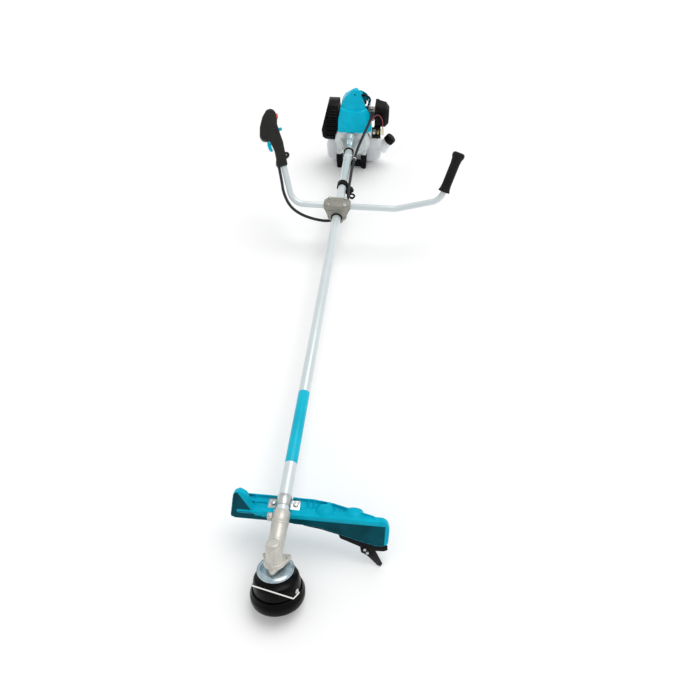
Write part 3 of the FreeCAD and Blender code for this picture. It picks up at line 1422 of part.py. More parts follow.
def mufflerBox(inset, open_side):
    """The guard's form: its front outline and its side outline, each drawn in by an inset, where both meet."""
    front = housing_mouth + muffler_front
    rear = crankcase_back - 0.5
    left, low, high = muffler_left, muffler_low, muffler_high
    reach = muffler_right + 30
    face = [(reach, low), (left + 14, low), (left + 3, low + 12), (left, low + 42), (left + 22, high - 8),
            (left + 32, high), (reach, high)]
    profile = [(front + 9, low), (front, low + 14), (front + 2, low + 94), (front + 20, high - 8), (front + 46, high),
               (rear, high - 14), (rear, low + 8), (rear - 8, low)]
    face_loop = closed([point(x, front - 1, z) for x, z in face])
    side_loop = closed([point(left - 1, y, z) for y, z in profile])
    if inset:
        face_loop = face_loop.makeOffset2D(-inset)
        side_loop = side_loop.makeOffset2D(-inset)
    across = Part.Face(side_loop).extrude(side * (muffler_right - left + 1 + open_side))
    return Part.Face(face_loop).extrude(back * (rear - front + 2)).common(across)


def makeMufflerCover():
    """Louvred guard round the muffler, open towards the cylinder."""
    front = housing_mouth + muffler_front
    rear = crankcase_back - 0.5
    solid = mufflerBox(0, 0).cut(mufflerBox(muffler_wall, 5))
    slots = []
    count = int((muffler_high - muffler_low - 40) / slot_pitch)
    for index in range(count):
        low = muffler_low + 16 + index * slot_pitch
        slots.append(block((muffler_left + 18, muffler_right - 5), (front - 1, front + muffler_wall + 8),
                           (low, low + slot_height)))
        slots.append(block((muffler_left - 1, muffler_left + 12), (front + 18, rear - 18), (low, low + slot_height)))
    outlet = rod(9, point(muffler_outlet_x, cylinder_y + 20, 44), point(muffler_outlet_x, cylinder_y + 64, 36))
    return solid.cut(slots + [outlet, cowlEnvelope(air_gap)])


# ---- intake side ----
filter_left = 84.0
filter_right = 133.0
filter_low = 46.0
filter_high = 124.0
filter_fall = 13.0      # that the filter's top slopes down to its outer side
filter_front = 92.0
filter_depth = 70.0
filter_corner = 9.0
carb_x = 62.0
carb_top = 10.0         # above the port's centre
throttle_lever = 8.5
throttle_idle = 30.0    # degrees that the arm points behind square
carb_z = 66.0


cable_end_y = cylinder_y - 40.0
cable_end_z = port_height + carb_top + 2 + air_gap + 4 + wire_radius + slide_gap


def makeIntake():
    """Insulator block between the cylinder and the carburettor."""
    return block((fin_half_width + 3, carb_x - 12), (cylinder_y - 15, cylinder_y + 15), (port_height - 15, port_height + 14))


def throttlePost():
    """Where the carburettor's throttle shaft comes out of its top."""
    return point(carb_x + 3, cylinder_y - 8, port_height + carb_top + 2)


def makeCarburettor():
    """Diaphragm carburettor with its bowl, throttle post, fuel stubs and cable bracket."""
    body = block((carb_x - 12, carb_x + 22), (cylinder_y - 19, cylinder_y + 19), (port_height - 20, port_height + carb_top))
    bowl = block((carb_x - 10, carb_x + 16), (cylinder_y - 17, cylinder_y + 17), (port_height - 27, port_height - 20))
    shaft = throttlePost()
    post = rod(4, shaft - up * 3, shaft)
    stub = rod(2.5, point(carb_x + 3, cylinder_y - 19, port_height - 12), point(carb_x + 3, cylinder_y - 30, port_height - 12))
    idle = rod(3, point(carb_x + 8, cylinder_y - 19, port_height + 2), point(carb_x + 8, cylinder_y - 27, port_height + 2))
    cable_x = shaft.x + throttle_lever
    bracket = block((cable_x - 6, cable_x + 6), (cable_end_y, cable_end_y + 3), (port_height + 2, cable_end_z + 6))
    arm = block((cable_x - 6, cable_x - 3), (cable_end_y, cylinder_y - 18), (port_height + 2, port_height + carb_top - 2))
    solid = joined([body, bowl, post, stub, idle, bracket, arm])
    wire_way = rod(wire_radius + air_gap, point(cable_x, cable_end_y - 1, cable_end_z), point(cable_x, cable_end_y + 4, cable_end_z))
    return solid.cut([rod(1.6 + slide_gap, shaft - up * 14, shaft + up), wire_way])


def makeThrottleArm():
    """The lever on the carburettor that the cable turns, at its idle stop."""
    centre = throttlePost() + up * air_gap
    hub = rod(4, centre, centre + up * 4)
    outward = (side * math.cos(math.radians(throttle_idle)) + back * math.sin(math.radians(throttle_idle)))
    across = outward.cross(up) * 3
    reach = throttle_lever / math.cos(math.radians(throttle_idle))
    arm = plate([centre + up - outward * 3 - across, centre + up - outward * 3 + across,
                 centre + up + outward * (reach + 3) + across, centre + up + outward * (reach + 3) - across],
                2.5, up * 2)
    pin = rod(1.6, centre - up * 12, centre + up)
    return joined([hub, arm, pin])


def makeFilterCase():
    """Back half of the air filter, bolted to the carburettor."""
    left = carb_x + 22
    case = Part.Face(closed(filterCorners(left, 0))).extrude(side * 12)
    return case.cut(rod(2 + slide_gap, chokePivot() - back * 4, chokePivot() + back * 9))


def filterCorners(x, inset):
    """The air filter's outline at one distance from the carburettor, with cut corners."""
    front = housing_mouth + filter_front + inset
    rear = housing_mouth + filter_front + filter_depth - inset
    low = filter_low + inset
    fall = filter_fall * (x - carb_x - 22) / (filter_right - carb_x - 22)
    high = filter_high - fall - inset
    cut = filter_corner
    return [point(x, front, low + cut), point(x, front + cut, low), point(x, rear - cut, low), point(x, rear, low + cut),
            point(x, rear, high - cut), point(x, rear - cut, high), point(x, front + cut, high),
            point(x, front, high - cut)]


def makeFilterCover():
    """Moulded outer cover of the air filter with its two vents and the recess for its thumb screw."""
    left = carb_x + 34
    front = housing_mouth + filter_front
    rear = front + filter_depth
    shoulder = filter_right - 12
    solid = joined([lofted([closed(filterCorners(left, 0)), closed(filterCorners(shoulder, 0))]),
                    lofted([closed(filterCorners(shoulder, 0)), closed(filterCorners(filter_right, 9))])])
    slots = [block((left + 5, left + 15), (front - 1, front + 4), (z, z + 4)) for z in (92, 101)]
    slots.append(block((left + 6, filter_right - 16), (front + 14, rear - 14), (filter_low + 12, filter_high - 26)))
    return solid.cut(slots)


def makeChokeLever():
    """Choke lever that swings on the filter case's front edge."""
    pivot = chokePivot()
    arm = plate([pivot + point(-4, -2, -6), pivot + point(-4, -2, 30), pivot + point(5, -2, 30), pivot + point(5, -2, -6)],
                3.5, back * 3 - back * 1.0)
    tip = plate([pivot + point(-5, -10, 24), pivot + point(6, -10, 24), pivot + point(6, -10, 31), pivot + point(-5, -10, 31)],
                2, back * 9)
    pin = rod(2, pivot - back * 3, pivot + back * 8)
    return joined([arm, tip, pin])


def chokePivot():
    return point(carb_x + 28, housing_mouth + filter_front - 3, 84)


# ---- engine cover ----


cover_rear = crankcase_back + 3.0


def coverLevel(z, x_range, y_range, cuts, inset):
    """A level outline of the cover with its left and right corners cut off, drawn in by an inset."""
    left, right = x_range[0] + inset, x_range[1] - inset
    front, rear = y_range[0] + inset, y_range[1] - inset
    left_cut, right_cut = cuts
    corners = [point(left + left_cut, front, z), point(right - right_cut, front, z), point(right, front + right_cut, z),
               point(right, rear - 8, z), point(right - 8, rear, z), point(left + 8, rear, z),
               point(left, rear - 8, z), point(left, front + left_cut, z)]
    return closed(corners)


def coverShape(inset):
    """The cover's outer form, or with an inset the hollow inside it."""
    low = 38 - (5 if inset else 0)
    m = housing_mouth
    base = coverLevel(low, (-46, 74), (m + 64, cover_rear), (4, 17), inset)
    waist = coverLevel(76, (-46, 72), (m + 70, cover_rear), (16, 24), inset)
    ledge = coverLevel(108 - inset, (-40, 56), (m + 82, cover_rear - 2), (24, 22), inset)
    step = coverLevel(108 - (6 if inset else 3), (-43, 66), (m + 92, cover_rear - 2), (26, 26), inset)
    upper = coverLevel(140, (-26, 52), (m + 103, m + 164), (17, 14), inset)
    top = coverLevel(tower_top - inset, (4, 33), (m + 111, m + 130), (3, 3), inset)
    return joined([lofted([base, waist]), lofted([waist, ledge])]), joined([lofted([step, upper]), lofted([upper, top])])


def makeCylinderCover():
    """Moulded cover over the cylinder: bulged front panel, ledge and a tapering tower."""
    lower_part, upper_part = coverShape(0)
    inner_low, inner_up = coverShape(cover_wall)
    m = housing_mouth
    solid = joined([lower_part, upper_part])
    mouths = [block((-18, 34), (m + 102, cover_rear - 11), (98, 112)),
              block((-36, 50), (m + 122, cover_rear - 11), (98, 112))]
    solid = solid.cut([inner_low, inner_up] + mouths)
    plug_way = rod(13, plug_seat + plug_axis * 2, plug_seat + plug_axis * 90)
    left_window = block((-60, -30), (cylinder_y - 36, cylinder_y + 50), (20, 114))
    right_window = block((56, 90), (cylinder_y - 42, cylinder_y + 50), (20, 104))
    rear_window = block((-34, 56), (cylinder_y + 30, cylinder_y + 60), (20, 100))
    hole = rod(2.6, point(12, m + 60, tower_top - 15), point(12, m + 125, tower_top - 15))
    plug_window = block((34, 90), (cylinder_y - 46, cylinder_y - 2), (116, 160))
    lead_window = block((50, 90), (cylinder_y - 46, cylinder_y - 22), (96, 120))
    return solid.cut([cowlEnvelope(air_gap), plug_way, plug_window, lead_window,
                      left_window, right_window, rear_window, hole])


tower_top = 173.0
cover_wall = 2.5


# ---- starter ----
def makeStarterHousing():
    start = point(0, crankcase_back + air_gap, 0)
    profile = [(0, 0), (starter_radius, 0), (starter_radius, starter_depth - 10), (starter_radius - 8, starter_depth),
               (0, starter_depth)]
    hollow = [(0, -1), (starter_radius - 3, -1), (starter_radius - 3, starter_depth - 12),
              (starter_radius - 10, starter_depth - 3), (0, starter_depth - 3)]
    solid = turned(profile, start, back)
    exit_block = block((pulley_radius - 8, pulley_radius + 8), (start.y + 4, start.y + 22), (30, starter_radius + 8))
    solid = joined([solid, exit_block]).cut(turned(hollow, start, back))
    rope_way = rod(rope_radius + 1.2, point(pulley_radius, start.y + 13, 10), point(pulley_radius, start.y + 13, starter_radius + 20))
    vents = []
    for step in range(6):
        angle = 2 * math.pi * step / 6 + 0.3
        vent = block((28, starter_radius - 14), (start.y + starter_depth - 5, start.y + starter_depth + 1), (-3, 3))
        vent.rotate(start, back, math.degrees(angle))
        vents.append(vent)
    axle = rod(5, start + back * (starter_depth - 4), start + back * 5)
    inner_room = block((pulley_radius - 5.5, pulley_radius + 5.5), (start.y + 7, start.y + 19), (20, starter_radius - 2))
    return solid.cut([rope_way, inner_room] + vents).fuse(axle).removeSplitter()


pulley_radius = 24.0
rope_radius = 1.9


def makeStarterPulley():
    start = point(0, crankcase_back + air_gap + 7, 0)
    profile = [(5 + slide_gap, 0), (pulley_radius + 5, 0), (pulley_radius + 5, 2), (pulley_radius - 2, 4),
               (pulley_radius - 2, 8), (pulley_radius + 5, 10), (pulley_radius + 5, 12), (5 + slide_gap, 12)]
    return turned(profile, start, back)


def ropeLine():
    return point(pulley_radius + 0.4, crankcase_back + air_gap + 13, 0)


def makeStarterRope():
    base = ropeLine()
    return rod(rope_radius, base + up * 6, base + up * (starter_radius + 16))


def makeStarterHandle():
    base = ropeLine() + up * (starter_radius + 8 + air_gap)
    corners = [base + side * x + up * z for x, z in [(-7, 0), (7, 0), (9, 8), (22, 9), (22, 22), (-22, 22), (-22, 9), (-9, 8)]]
    body = plate([corner - back * 6.5 for corner in corners], [2, 2, 4, 5, 5, 5, 5, 4], back * 13)
    return body.cut(rod(rope_radius, base - up, base + up * 8))


# ---- fuel tank and stand ----
tank_front = crankcase_front + 2.0
tank_rear = crankcase_back - 1.0
filler_start = point(106, tank_front + 20, -66)
filler_axis = Vector(0.66, 0, 0.75).normalize()
filler_length = 40.0


def tankOutline(y, inset):
    low = floorLevel() + stand_runner + air_gap
    plan = [(tank_left + 12, low), (tank_right - 12, low), (tank_right + 15, low + 20), (tank_right + 22, -58),
            (tank_right + 6, -24), (66, -14), (50, -48), (0, -52), (-50, -48), (-60, -24), (tank_left, -26),
            (tank_left - 8, -50), (tank_left - 6, low + 18)]
    radii = [16, 20, 20, 16, 14, 8, 8, 80, 8, 8, 10, 12, 14]
    loop = roundedLoop([point(x, y, z) for x, z in plan], radii)
    return loop.makeOffset2D(-inset) if inset else loop


def makeFuelTank():
    """Blow-moulded fuel tank that saddles the crankcase, with its filler neck."""
    body = Part.Face(tankOutline(tank_front, 0)).extrude(back * (tank_rear - tank_front))
    body = body.makeChamfer(5.0, [edge for edge in body.Edges if abs(edge.CenterOfMass.y - tank_front) < 0.01
                                  or abs(edge.CenterOfMass.y - tank_rear) < 0.01])
    neck_end = filler_start + filler_axis * filler_length
    neck = cone(filler_radius + 8, filler_radius, filler_start, neck_end)
    hollow = Part.Face(tankOutline(tank_front + tank_wall, tank_wall)).extrude(back * (tank_rear - tank_front - 2 * tank_wall))
    throat = rod(filler_radius - tank_wall, filler_start, neck_end + filler_axis)
    return joined([body, neck]).cut([hollow, throat])


def makeFuelCap():
    """Ribbed screw cap with a plug that enters the filler neck."""
    start = filler_start + filler_axis * (filler_length + slide_gap)
    radius, height = fuel_cap_radius, fuel_cap_height
    cap = turned([(0, 0), (radius, 0), (radius, height - 4), (radius - 1.5, height - 1.2), (radius - 4, height),
                  (0, height)], start, filler_axis)
    first = filler_axis.cross(back).normalize()
    grips = []
    for step in range(cap_grips):
        turn = 2 * math.pi * step / cap_grips
        outward = first * math.cos(turn) + back * math.sin(turn)
        across = filler_axis.cross(outward) * 1.6
        near = start + outward * (radius - 1.2) + filler_axis * 4
        far = start + outward * (radius + 2) + filler_axis * 4
        groove = Part.Face(closed([near - across * 0.5, near + across * 0.5, far + across, far - across]))
        grips.append(groove.extrude(filler_axis * height))
    plug = rod(filler_radius - tank_wall - air_gap, start - filler_axis * 8, start)
    return cap.cut(grips).fuse(plug)


cap_grips = 12


def floorLevel():
    """The resting plane: where the tilted rim of the line head comes lowest."""
    lowest = 0
    for radius, depth in ((rim_foot_radius, rim_depth - 1.5), (rim_radius, rim_depth - 7)):
        rise = math.sin(tilt) * math.cos(math.radians(head_roll))
        lowest = min(lowest, -depth * rise - radius * math.sqrt(1 - rise * rise))
    return lowest


def makeEngineStand():
    """Moulded stand under the engine: two legs, a cross bar and two runners."""
    floor = floorLevel()
    half = stand_foot_span / 2
    front = stand_front
    shapes = []
    for turn in (-1, 1):
        leg = [point(turn * (half - 11), front, -cowl_radius - 4), point(turn * (half + 11), front, -cowl_radius - 4),
               point(turn * (half + 9), front, floor + 1), point(turn * (half - 9), front, floor + 1)]
        shapes.append(plate(leg, [2, 2, 5, 5], back * 20))
        runner = [point(turn * half - 8, front, floor), point(turn * half + 8, front, floor),
                  point(turn * half + 8, tank_rear, floor), point(turn * half - 8, tank_rear, floor)]
        shapes.append(plate(runner, 6, up * stand_runner))
    shapes.append(block((-half, half), (front + 3, front + 16), (floor + 8, floor + 30)))
    tools = []
    for x in (-half, half):
        low = point(x, stand_bolt_y, floor - 1)
        tools.append(rod(bolt_radius + slide_gap, low, low + up * cowl_radius * 2))
        tools.append(rod(bolt_radius * 2, low, low + up * 23))
    return joined(shapes).cut(tools)


def makeStandScrews():
    seat = floorLevel() + 22
    half = stand_foot_span / 2
    return [capScrew(point(x, stand_bolt_y, seat), up, -cowl_radius + 7 - seat) for x in (-half, half)]


# ---- build every piece ----
pinion, ring_gear = makeGears()
head_end = {
    "gearcase": makeGearcase(), "ring_gear": ring_gear, "output_shaft": makeOutputShaft(),
    "shield_disc": makeShieldDisc(), "line_head_housing": makeHeadHousing(), "line_head_base": makeHeadBase(),
    "line_spool": [makeSpool()] + makeSpoolLine(), "spool_spring": makeSpoolSpring(),
    "bump_knob": makeBumpKnob(), "line_eyelets": makeEyelets(), "cutting_line": makeCuttingLine(),
    "pinion_gear": makePinion(pinion)}
for name, shape in head_end.items():
    shapes = shape if isinstance(shape, list) else [shape]
    keep(name, [aroundHead(each) for each in shapes])
keep("bearings", [aroundHead(each) for each in makeGearBearings()] + [makeDrumBearing()] + makeTubeBushes())
keep("screws", [aroundHead(each) for each in makeGearcaseScrews()] + makeGuardBolts() + makeBladeScrews()
     + makeClampScrews() + makeHandleScrews() + [makeTriggerPin()] + makeStandScrews())
keep("guard_shell", makeGuardShell())
keep("guard_bracket", makeGuardBracket())
keep("guard_extension", makeGuardExtension())
keep("line_knife", makeLineBlade())
keep("drive_tube", makeDriveTube())
keep("drive_shaft", aroundHead(makeDriveShaft()))
keep("handlebar_left", makeHandlebarLeft())
keep("handlebar_right", makeHandlebarRight())
keep("handle_clamp_top", makeHandleClampTop())
keep("handle_clamp_base", makeHandleClampBase())
keep("handle_clamp_lower", makeHandleClampLower())
keep("rubber_bushes", [makeClampBush(), makeMouthBush()])
keep("grip_right", makeGripRight())
keep("throttle_shells", makeThrottleShells())
keep("throttle_trigger", makeTrigger())
keep("lock_button", makeLockButton())
keep("stop_switch", makeStopSwitch())
keep("throttle_cable", [makeThrottleCable(), makeInnerWire()])
keep("stop_wires", makeStopWires())
keep("hanger_clamp", makeHangerClamp())
keep("hanger_knob", makeHangerKnob())
keep("clutch_housing", makeClutchHousing())
keep("clutch_drum", makeClutchDrum())
keep("clutch_shoes", makeClutchShoes())
keep("flywheel", makeFlywheel())
keep("crankshaft", makeCrankshaft())
keep("crankcase", makeCrankcase())
keep("cylinder", makeCylinder())
keep("spark_plug", makeSparkPlug())
keep("plug_lead", [makePlugBoot(), makeIgnitionLead()])
keep("ignition_coil", makeIgnitionCoil())
keep("muffler", makeMuffler())
keep("muffler_cover", makeMufflerCover())
keep("intake_block", makeIntake())
keep("carburettor", makeCarburettor())
keep("throttle_arm", makeThrottleArm())
keep("air_filter_case", makeFilterCase())
keep("air_filter_cover", makeFilterCover())
keep("choke_lever", makeChokeLever())
keep("cylinder_cover", makeCylinderCover())
keep("starter_housing", makeStarterHousing())
keep("starter_pulley", makeStarterPulley())
keep("starter_handle", [makeStarterHandle(), makeStarterRope()])
keep("fuel_tank", makeFuelTank())
keep("fuel_cap", makeFuelCap())
keep("engine_stand", makeEngineStand())

# ---- stand it on its resting plane, centred, and export ----
bounds = FreeCAD.BoundBox()
for shape in pieces.values():
    bounds.add(shape.optimalBoundingBox(False))
stand_at = point(-bounds.Center.x, -bounds.Center.y, -bounds.ZMin)
print("pieces", len(pieces), "moved by", stand_at)
os.makedirs("parts", exist_ok=True)
for name, shape in pieces.items():
    shape.translate(stand_at)
    shape.exportStep("parts/" + name + ".step")
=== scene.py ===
import bpy, bmesh, math
from mathutils import Vector, Matrix, Quaternion


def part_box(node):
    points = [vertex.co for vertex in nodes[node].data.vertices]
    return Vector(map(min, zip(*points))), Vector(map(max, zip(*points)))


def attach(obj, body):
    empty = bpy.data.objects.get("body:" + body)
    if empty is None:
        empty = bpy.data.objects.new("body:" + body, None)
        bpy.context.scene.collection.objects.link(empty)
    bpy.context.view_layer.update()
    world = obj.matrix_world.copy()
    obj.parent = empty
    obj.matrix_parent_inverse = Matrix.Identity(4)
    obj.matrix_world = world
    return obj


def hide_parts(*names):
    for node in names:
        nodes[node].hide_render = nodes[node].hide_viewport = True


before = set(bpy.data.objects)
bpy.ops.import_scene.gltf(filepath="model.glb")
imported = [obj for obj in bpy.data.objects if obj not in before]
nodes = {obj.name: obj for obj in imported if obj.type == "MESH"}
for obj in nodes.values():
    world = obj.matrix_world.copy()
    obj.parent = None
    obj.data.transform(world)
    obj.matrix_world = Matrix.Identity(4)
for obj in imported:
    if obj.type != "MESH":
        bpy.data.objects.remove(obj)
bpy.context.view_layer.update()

scene = bpy.context.scene
print("frame loaded:", len(nodes), "CAD nodes")

# every place below is in millimetres from the crossing of the gearcase's two shafts
tubeFacts = {"radius": 14.0, "start": 60.0}
# degrees: the head's shaft against the tube, and its turn about the tube; the guard is tilted but not turned
headFacts = {"tilt": 65.0, "roll": -4.0}
tubeLow, tubeHigh = [Vector(corner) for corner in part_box("drive_tube")]
crossing = (tubeLow + tubeHigh) / 2
crossing.y = tubeLow.y - tubeFacts["start"] / 1000
tilt = math.radians(headFacts["tilt"])
guardUp = Vector((0, math.cos(tilt), math.sin(tilt)))
guardFace = Vector((0, -math.sin(tilt), math.cos(tilt)))
headTurn = Quaternion((0, 1, 0), math.radians(headFacts["roll"]))
headUp = headTurn @ guardUp
headSide = headTurn @ Vector((1, 0, 0))
headFore = headUp.cross(headSide) * -1


def at(x, y, z):
    return crossing + Vector((x, y, z)) / 1000


def onHead(across, fore, height):
    # millimetres in the head's own directions
    return crossing + (headSide * across + headFore * fore + headUp * height) / 1000


def linear(hexColour):
    # sRGB hex to the linear values that the shaders take
    parts = [int(hexColour[i:i + 2], 16) / 255 for i in (1, 3, 5)]
    return tuple(p / 12.92 if p <= 0.04045 else ((p + 0.055) / 1.055) ** 2.4 for p in parts) + (1.0,)


def addNode(tree, kind, settings=None, links=None):
    # one node: settings are its properties, socket values or a ramp's two stops, and links are socket: source
    node = tree.nodes.new(kind)
    for name, value in (settings or {}).items():
        if name == "stops":
            for element, (position, colour) in zip(node.color_ramp.elements, value):
                element.position, element.color = position, linear(colour)
        elif isinstance(name, int) or name in node.inputs:
            node.inputs[name].default_value = value
        else:
            setattr(node, name, value)
    for name, source in (links or {}).items():
        tree.links.new(source, node.inputs[name])
    return node


def newMaterial(name, **surface):
    material = bpy.data.materials.new(name)
    material.use_nodes = True
    tree = material.node_tree
    shader = tree.nodes["Principled BSDF"]
    for socket, value in surface.items():
        shader.inputs[socket.replace("_", " ")].default_value = value
    place = addNode(tree, "ShaderNodeTexCoord").outputs["Object"]
    return material, tree, shader, place


def outerEdges(tree, radius):
    # 0 on flats, towards 1 where an edge is sharper than the radius
    soft = addNode(tree, "ShaderNodeBevel", {"samples": 6, "Radius": radius})
    hard = addNode(tree, "ShaderNodeNewGeometry")
    same = addNode(tree, "ShaderNodeVectorMath", {"operation": "DOT_PRODUCT"},
                   {0: soft.outputs["Normal"], 1: hard.outputs["Normal"]})
    return addNode(tree, "ShaderNodeMapRange", {"From Min": 0.99, "From Max": 0.8},
                   {"Value": same.outputs["Value"]}).outputs["Result"]


def skinSurface(tree, shader, spread, roughness, height, bump, depth):
    # the roughness follows one pattern between its two values, and a bump of a given depth the other
    rough = addNode(tree, "ShaderNodeMapRange", {"To Min": roughness[0], "To Max": roughness[1]},
                    {"Value": spread})
    tree.links.new(rough.outputs["Result"], shader.inputs["Roughness"])
    lift = addNode(tree, "ShaderNodeBump", {"Strength": bump, "Distance": depth}, {"Height": height})
    tree.links.new(lift.outputs["Normal"], shader.inputs["Normal"])


# in metres: how near an edge is worn, and the spots that handling rubs; the bump is a share of the grain
mouldedFacts = {"worn": 0.0012, "rub": 0.006, "depth": 0.25}


def mouldedSkin(name, colours, grain, roughness, wear, patch=0.04, bump=0.12, **surface):
    # moulded plastic: flow patches in the colour, a spark-eroded grain, and edges rubbed by handling
    facts = mouldedFacts
    material, tree, shader, place = newMaterial(name, **surface)
    flow = addNode(tree, "ShaderNodeTexNoise", {"Scale": 1 / patch, "Detail": 3.0, "Distortion": 0.6},
                   {"Vector": place}).outputs["Fac"]
    colour = addNode(tree, "ShaderNodeValToRGB", {"stops": [(0.36, colours[0]), (0.64, colours[1])]},
                     {"Fac": flow})
    rubbed = addNode(tree, "ShaderNodeTexNoise", {"Scale": 1 / facts["rub"], "Detail": 4.0},
                     {"Vector": place})
    share = addNode(tree, "ShaderNodeMath", {"operation": "MULTIPLY"},
                    {0: outerEdges(tree, facts["worn"]), 1: rubbed.outputs["Fac"]})
    mixed = addNode(tree, "ShaderNodeMix", {"data_type": "RGBA", 7: linear(wear)},
                    {"Factor": share.outputs["Value"], 6: colour.outputs["Color"]})
    tree.links.new(mixed.outputs[2], shader.inputs["Base Color"])
    spark = addNode(tree, "ShaderNodeTexVoronoi", {"Scale": 1 / grain}, {"Vector": place})
    skinSurface(tree, shader, flow, roughness, spark.outputs["Distance"], bump, grain * facts["depth"])
    return material


# in metres: shade patches and worn edges; then the shares of pit colour, of polish and of the grain in the bump
castFacts = {"patch": 0.018, "worn": 0.0015, "pits": 0.5, "polish": 0.8, "depth": 0.4}


def castSkin(name, colours, grain, roughness, polish, bump=0.35, **surface):
    # cast metal: an orange-peel skin with darker pits, and outer edges tumbled brighter
    facts = castFacts
    material, tree, shader, place = newMaterial(name, **surface)
    patches = addNode(tree, "ShaderNodeTexNoise", {"Scale": 1 / facts["patch"], "Detail": 4.0},
                      {"Vector": place})
    colour = addNode(tree, "ShaderNodeValToRGB", {"stops": [(0.32, colours[0]), (0.68, colours[1])]},
                     {"Fac": patches.outputs["Fac"]})
    skin = addNode(tree, "ShaderNodeTexNoise", {"Scale": 1 / grain, "Detail": 2.0, "Roughness": 0.6},
                   {"Vector": place}).outputs["Fac"]
    pits = addNode(tree, "ShaderNodeMapRange", {"From Min": 0.36, "From Max": 0.28}, {"Value": skin})
    pitted = addNode(tree, "ShaderNodeMath", {"operation": "MULTIPLY", 1: facts["pits"]},
                     {0: pits.outputs["Result"]})
    darker = addNode(tree, "ShaderNodeMix", {"data_type": "RGBA", 7: linear(colours[2])},
                     {"Factor": pitted.outputs["Value"], 6: colour.outputs["Color"]})
    tumbled = addNode(tree, "ShaderNodeMath", {"operation": "MULTIPLY", 1: facts["polish"]},
                      {0: outerEdges(tree, facts["worn"])})
    mixed = addNode(tree, "ShaderNodeMix", {"data_type": "RGBA", 7: linear(polish)},
                    {"Factor": tumbled.outputs["Value"], 6: darker.outputs[2]})
    tree.links.new(mixed.outputs[2], shader.inputs["Base Color"])
    skinSurface(tree, shader, skin, roughness, skin, bump, grain * facts["depth"])
    return material


# in metres: clouds in the plating and bright arrises; then the shares of polish and of the stroke in the bump
machinedFacts = {"cloud": 0.02, "worn": 0.0008, "polish": 0.7, "depth": 0.3}


def machinedSkin(name, colours, stroke, roughness, polish, stretch=(1, 14, 1), bump=0.12, **surface):
    # rolled, turned or plated metal: fine strokes along one direction and bright arrises
    facts = machinedFacts
    material, tree, shader, place = newMaterial(name, **surface)
    along = addNode(tree, "ShaderNodeMapping", {"Scale": tuple(1 / part for part in stretch)},
                    {"Vector": place})
    strokes = addNode(tree, "ShaderNodeTexNoise", {"Scale": 1 / stroke, "Detail": 3.0},
                      {"Vector": along.outputs["Vector"]}).outputs["Fac"]
    clouds = addNode(tree, "ShaderNodeTexNoise", {"Scale": 1 / facts["cloud"], "Detail": 2.0},
                     {"Vector": place})
    colour = addNode(tree, "ShaderNodeValToRGB", {"stops": [(0.35, colours[0]), (0.65, colours[1])]},
                     {"Fac": clouds.outputs["Fac"]})
    bright = addNode(tree, "ShaderNodeMath", {"operation": "MULTIPLY", 1: facts["polish"]},
                     {0: outerEdges(tree, facts["worn"])})
    mixed = addNode(tree, "ShaderNodeMix", {"data_type": "RGBA", 7: linear(polish)},
                    {"Factor": bright.outputs["Value"], 6: colour.outputs["Color"]})
    tree.links.new(mixed.outputs[2], shader.inputs["Base Color"])
    skinSurface(tree, shader, strokes, roughness, strokes, bump, stroke * facts["depth"])
    return material


# Each grain is given in metres. Moulding, blasting and plating leave about 0.1 to 0.4 mm, too fine to show on a
# machine this long, so every grain here is drawn coarser, at 0.6 to 1.6 mm.
# pressure-cast aluminium, shot-blasted: pale warm grey, dry, with an even peel
castAluminium = castSkin("castAluminium", ("#C0BEB6", "#D0CEC6", "#A3A199"), 0.0012, (0.36, 0.5), "#E6E4DE",
                         bump=0.12, Metallic=0.45)
# the same alloy on the engine: polished by its tool, so it mirrors more of the room
housingAluminium = castSkin("housingAluminium", ("#BCC2C2", "#D3D9D9", "#8D9091"), 0.0014, (0.28, 0.42),
                            "#EDEFEF", bump=0.12, Metallic=0.75)
# sand-cast aluminium of the handlebar clamp: darker and coarser
sandCastAluminium = castSkin("sandCastAluminium", ("#8C8A82", "#9F9D94", "#74726B"), 0.0016, (0.38, 0.52),
                             "#C8C6BD", bump=0.16, Metallic=0.5)
# engine castings inside the covers: grey and dry
engineCasting = castSkin("engineCasting", ("#8E8D89", "#A6A5A0", "#63625E"), 0.0014, (0.45, 0.62), "#C0BFBA",
                         Metallic=0.5)
# steel near the exhaust: browned by heat, dull and patchy
heatStainedSteel = castSkin("heatStainedSteel", ("#3A332E", "#5A5048", "#241F1B"), 0.0012, (0.5, 0.7),
                            "#7A6F64", Metallic=0.6)
# spun aluminium disc, cleaned after turning: cool and bright with rings too fine to see
turnedAluminium = machinedSkin("turnedAluminium", ("#A9BCC6", "#C6D5DC"), 0.0008, (0.2, 0.34), "#EEF5F8",
                               stretch=(1, 1, 1), Metallic=0.85)
# zinc-plated steel: cool grey with a faint passivate cloud
zincSteel = machinedSkin("zincSteel", ("#ABAFB0", "#C9CCCB"), 0.0007, (0.26, 0.4), "#E9ECEC", Metallic=0.85)
# hardened and ground steel of gears and clutch: dark grey with bright arrises
hardenedSteel = machinedSkin("hardenedSteel", ("#3B3C3E", "#54565A"), 0.0007, (0.34, 0.5), "#8F9296",
                             Metallic=0.85)
# blackened spring steel of the knife: nearly black, with a ground edge that catches the light
blackenedSteel = machinedSkin("blackenedSteel", ("#1D1E1D", "#2A2B29"), 0.0009, (0.4, 0.55), "#6C6D69",
                              Metallic=0.6)
# drawn brass of the adjusting screw: dull yellow, brighter on its corners
drawnBrass = machinedSkin("drawnBrass", ("#A98F4E", "#C2A968"), 0.0006, (0.26, 0.4), "#E0CB8E", Metallic=0.85)
# aluminium tube in silver enamel: almost white, a soft shine and a little orange peel
silverEnamel = mouldedSkin("silverEnamel", ("#CED8DA", "#D6DFE1"), 0.0015, (0.26, 0.34), "#E4ECEE", patch=0.16,
                           bump=0.05, Metallic=0.2, Coat_Weight=0.3, Coat_Roughness=0.2)
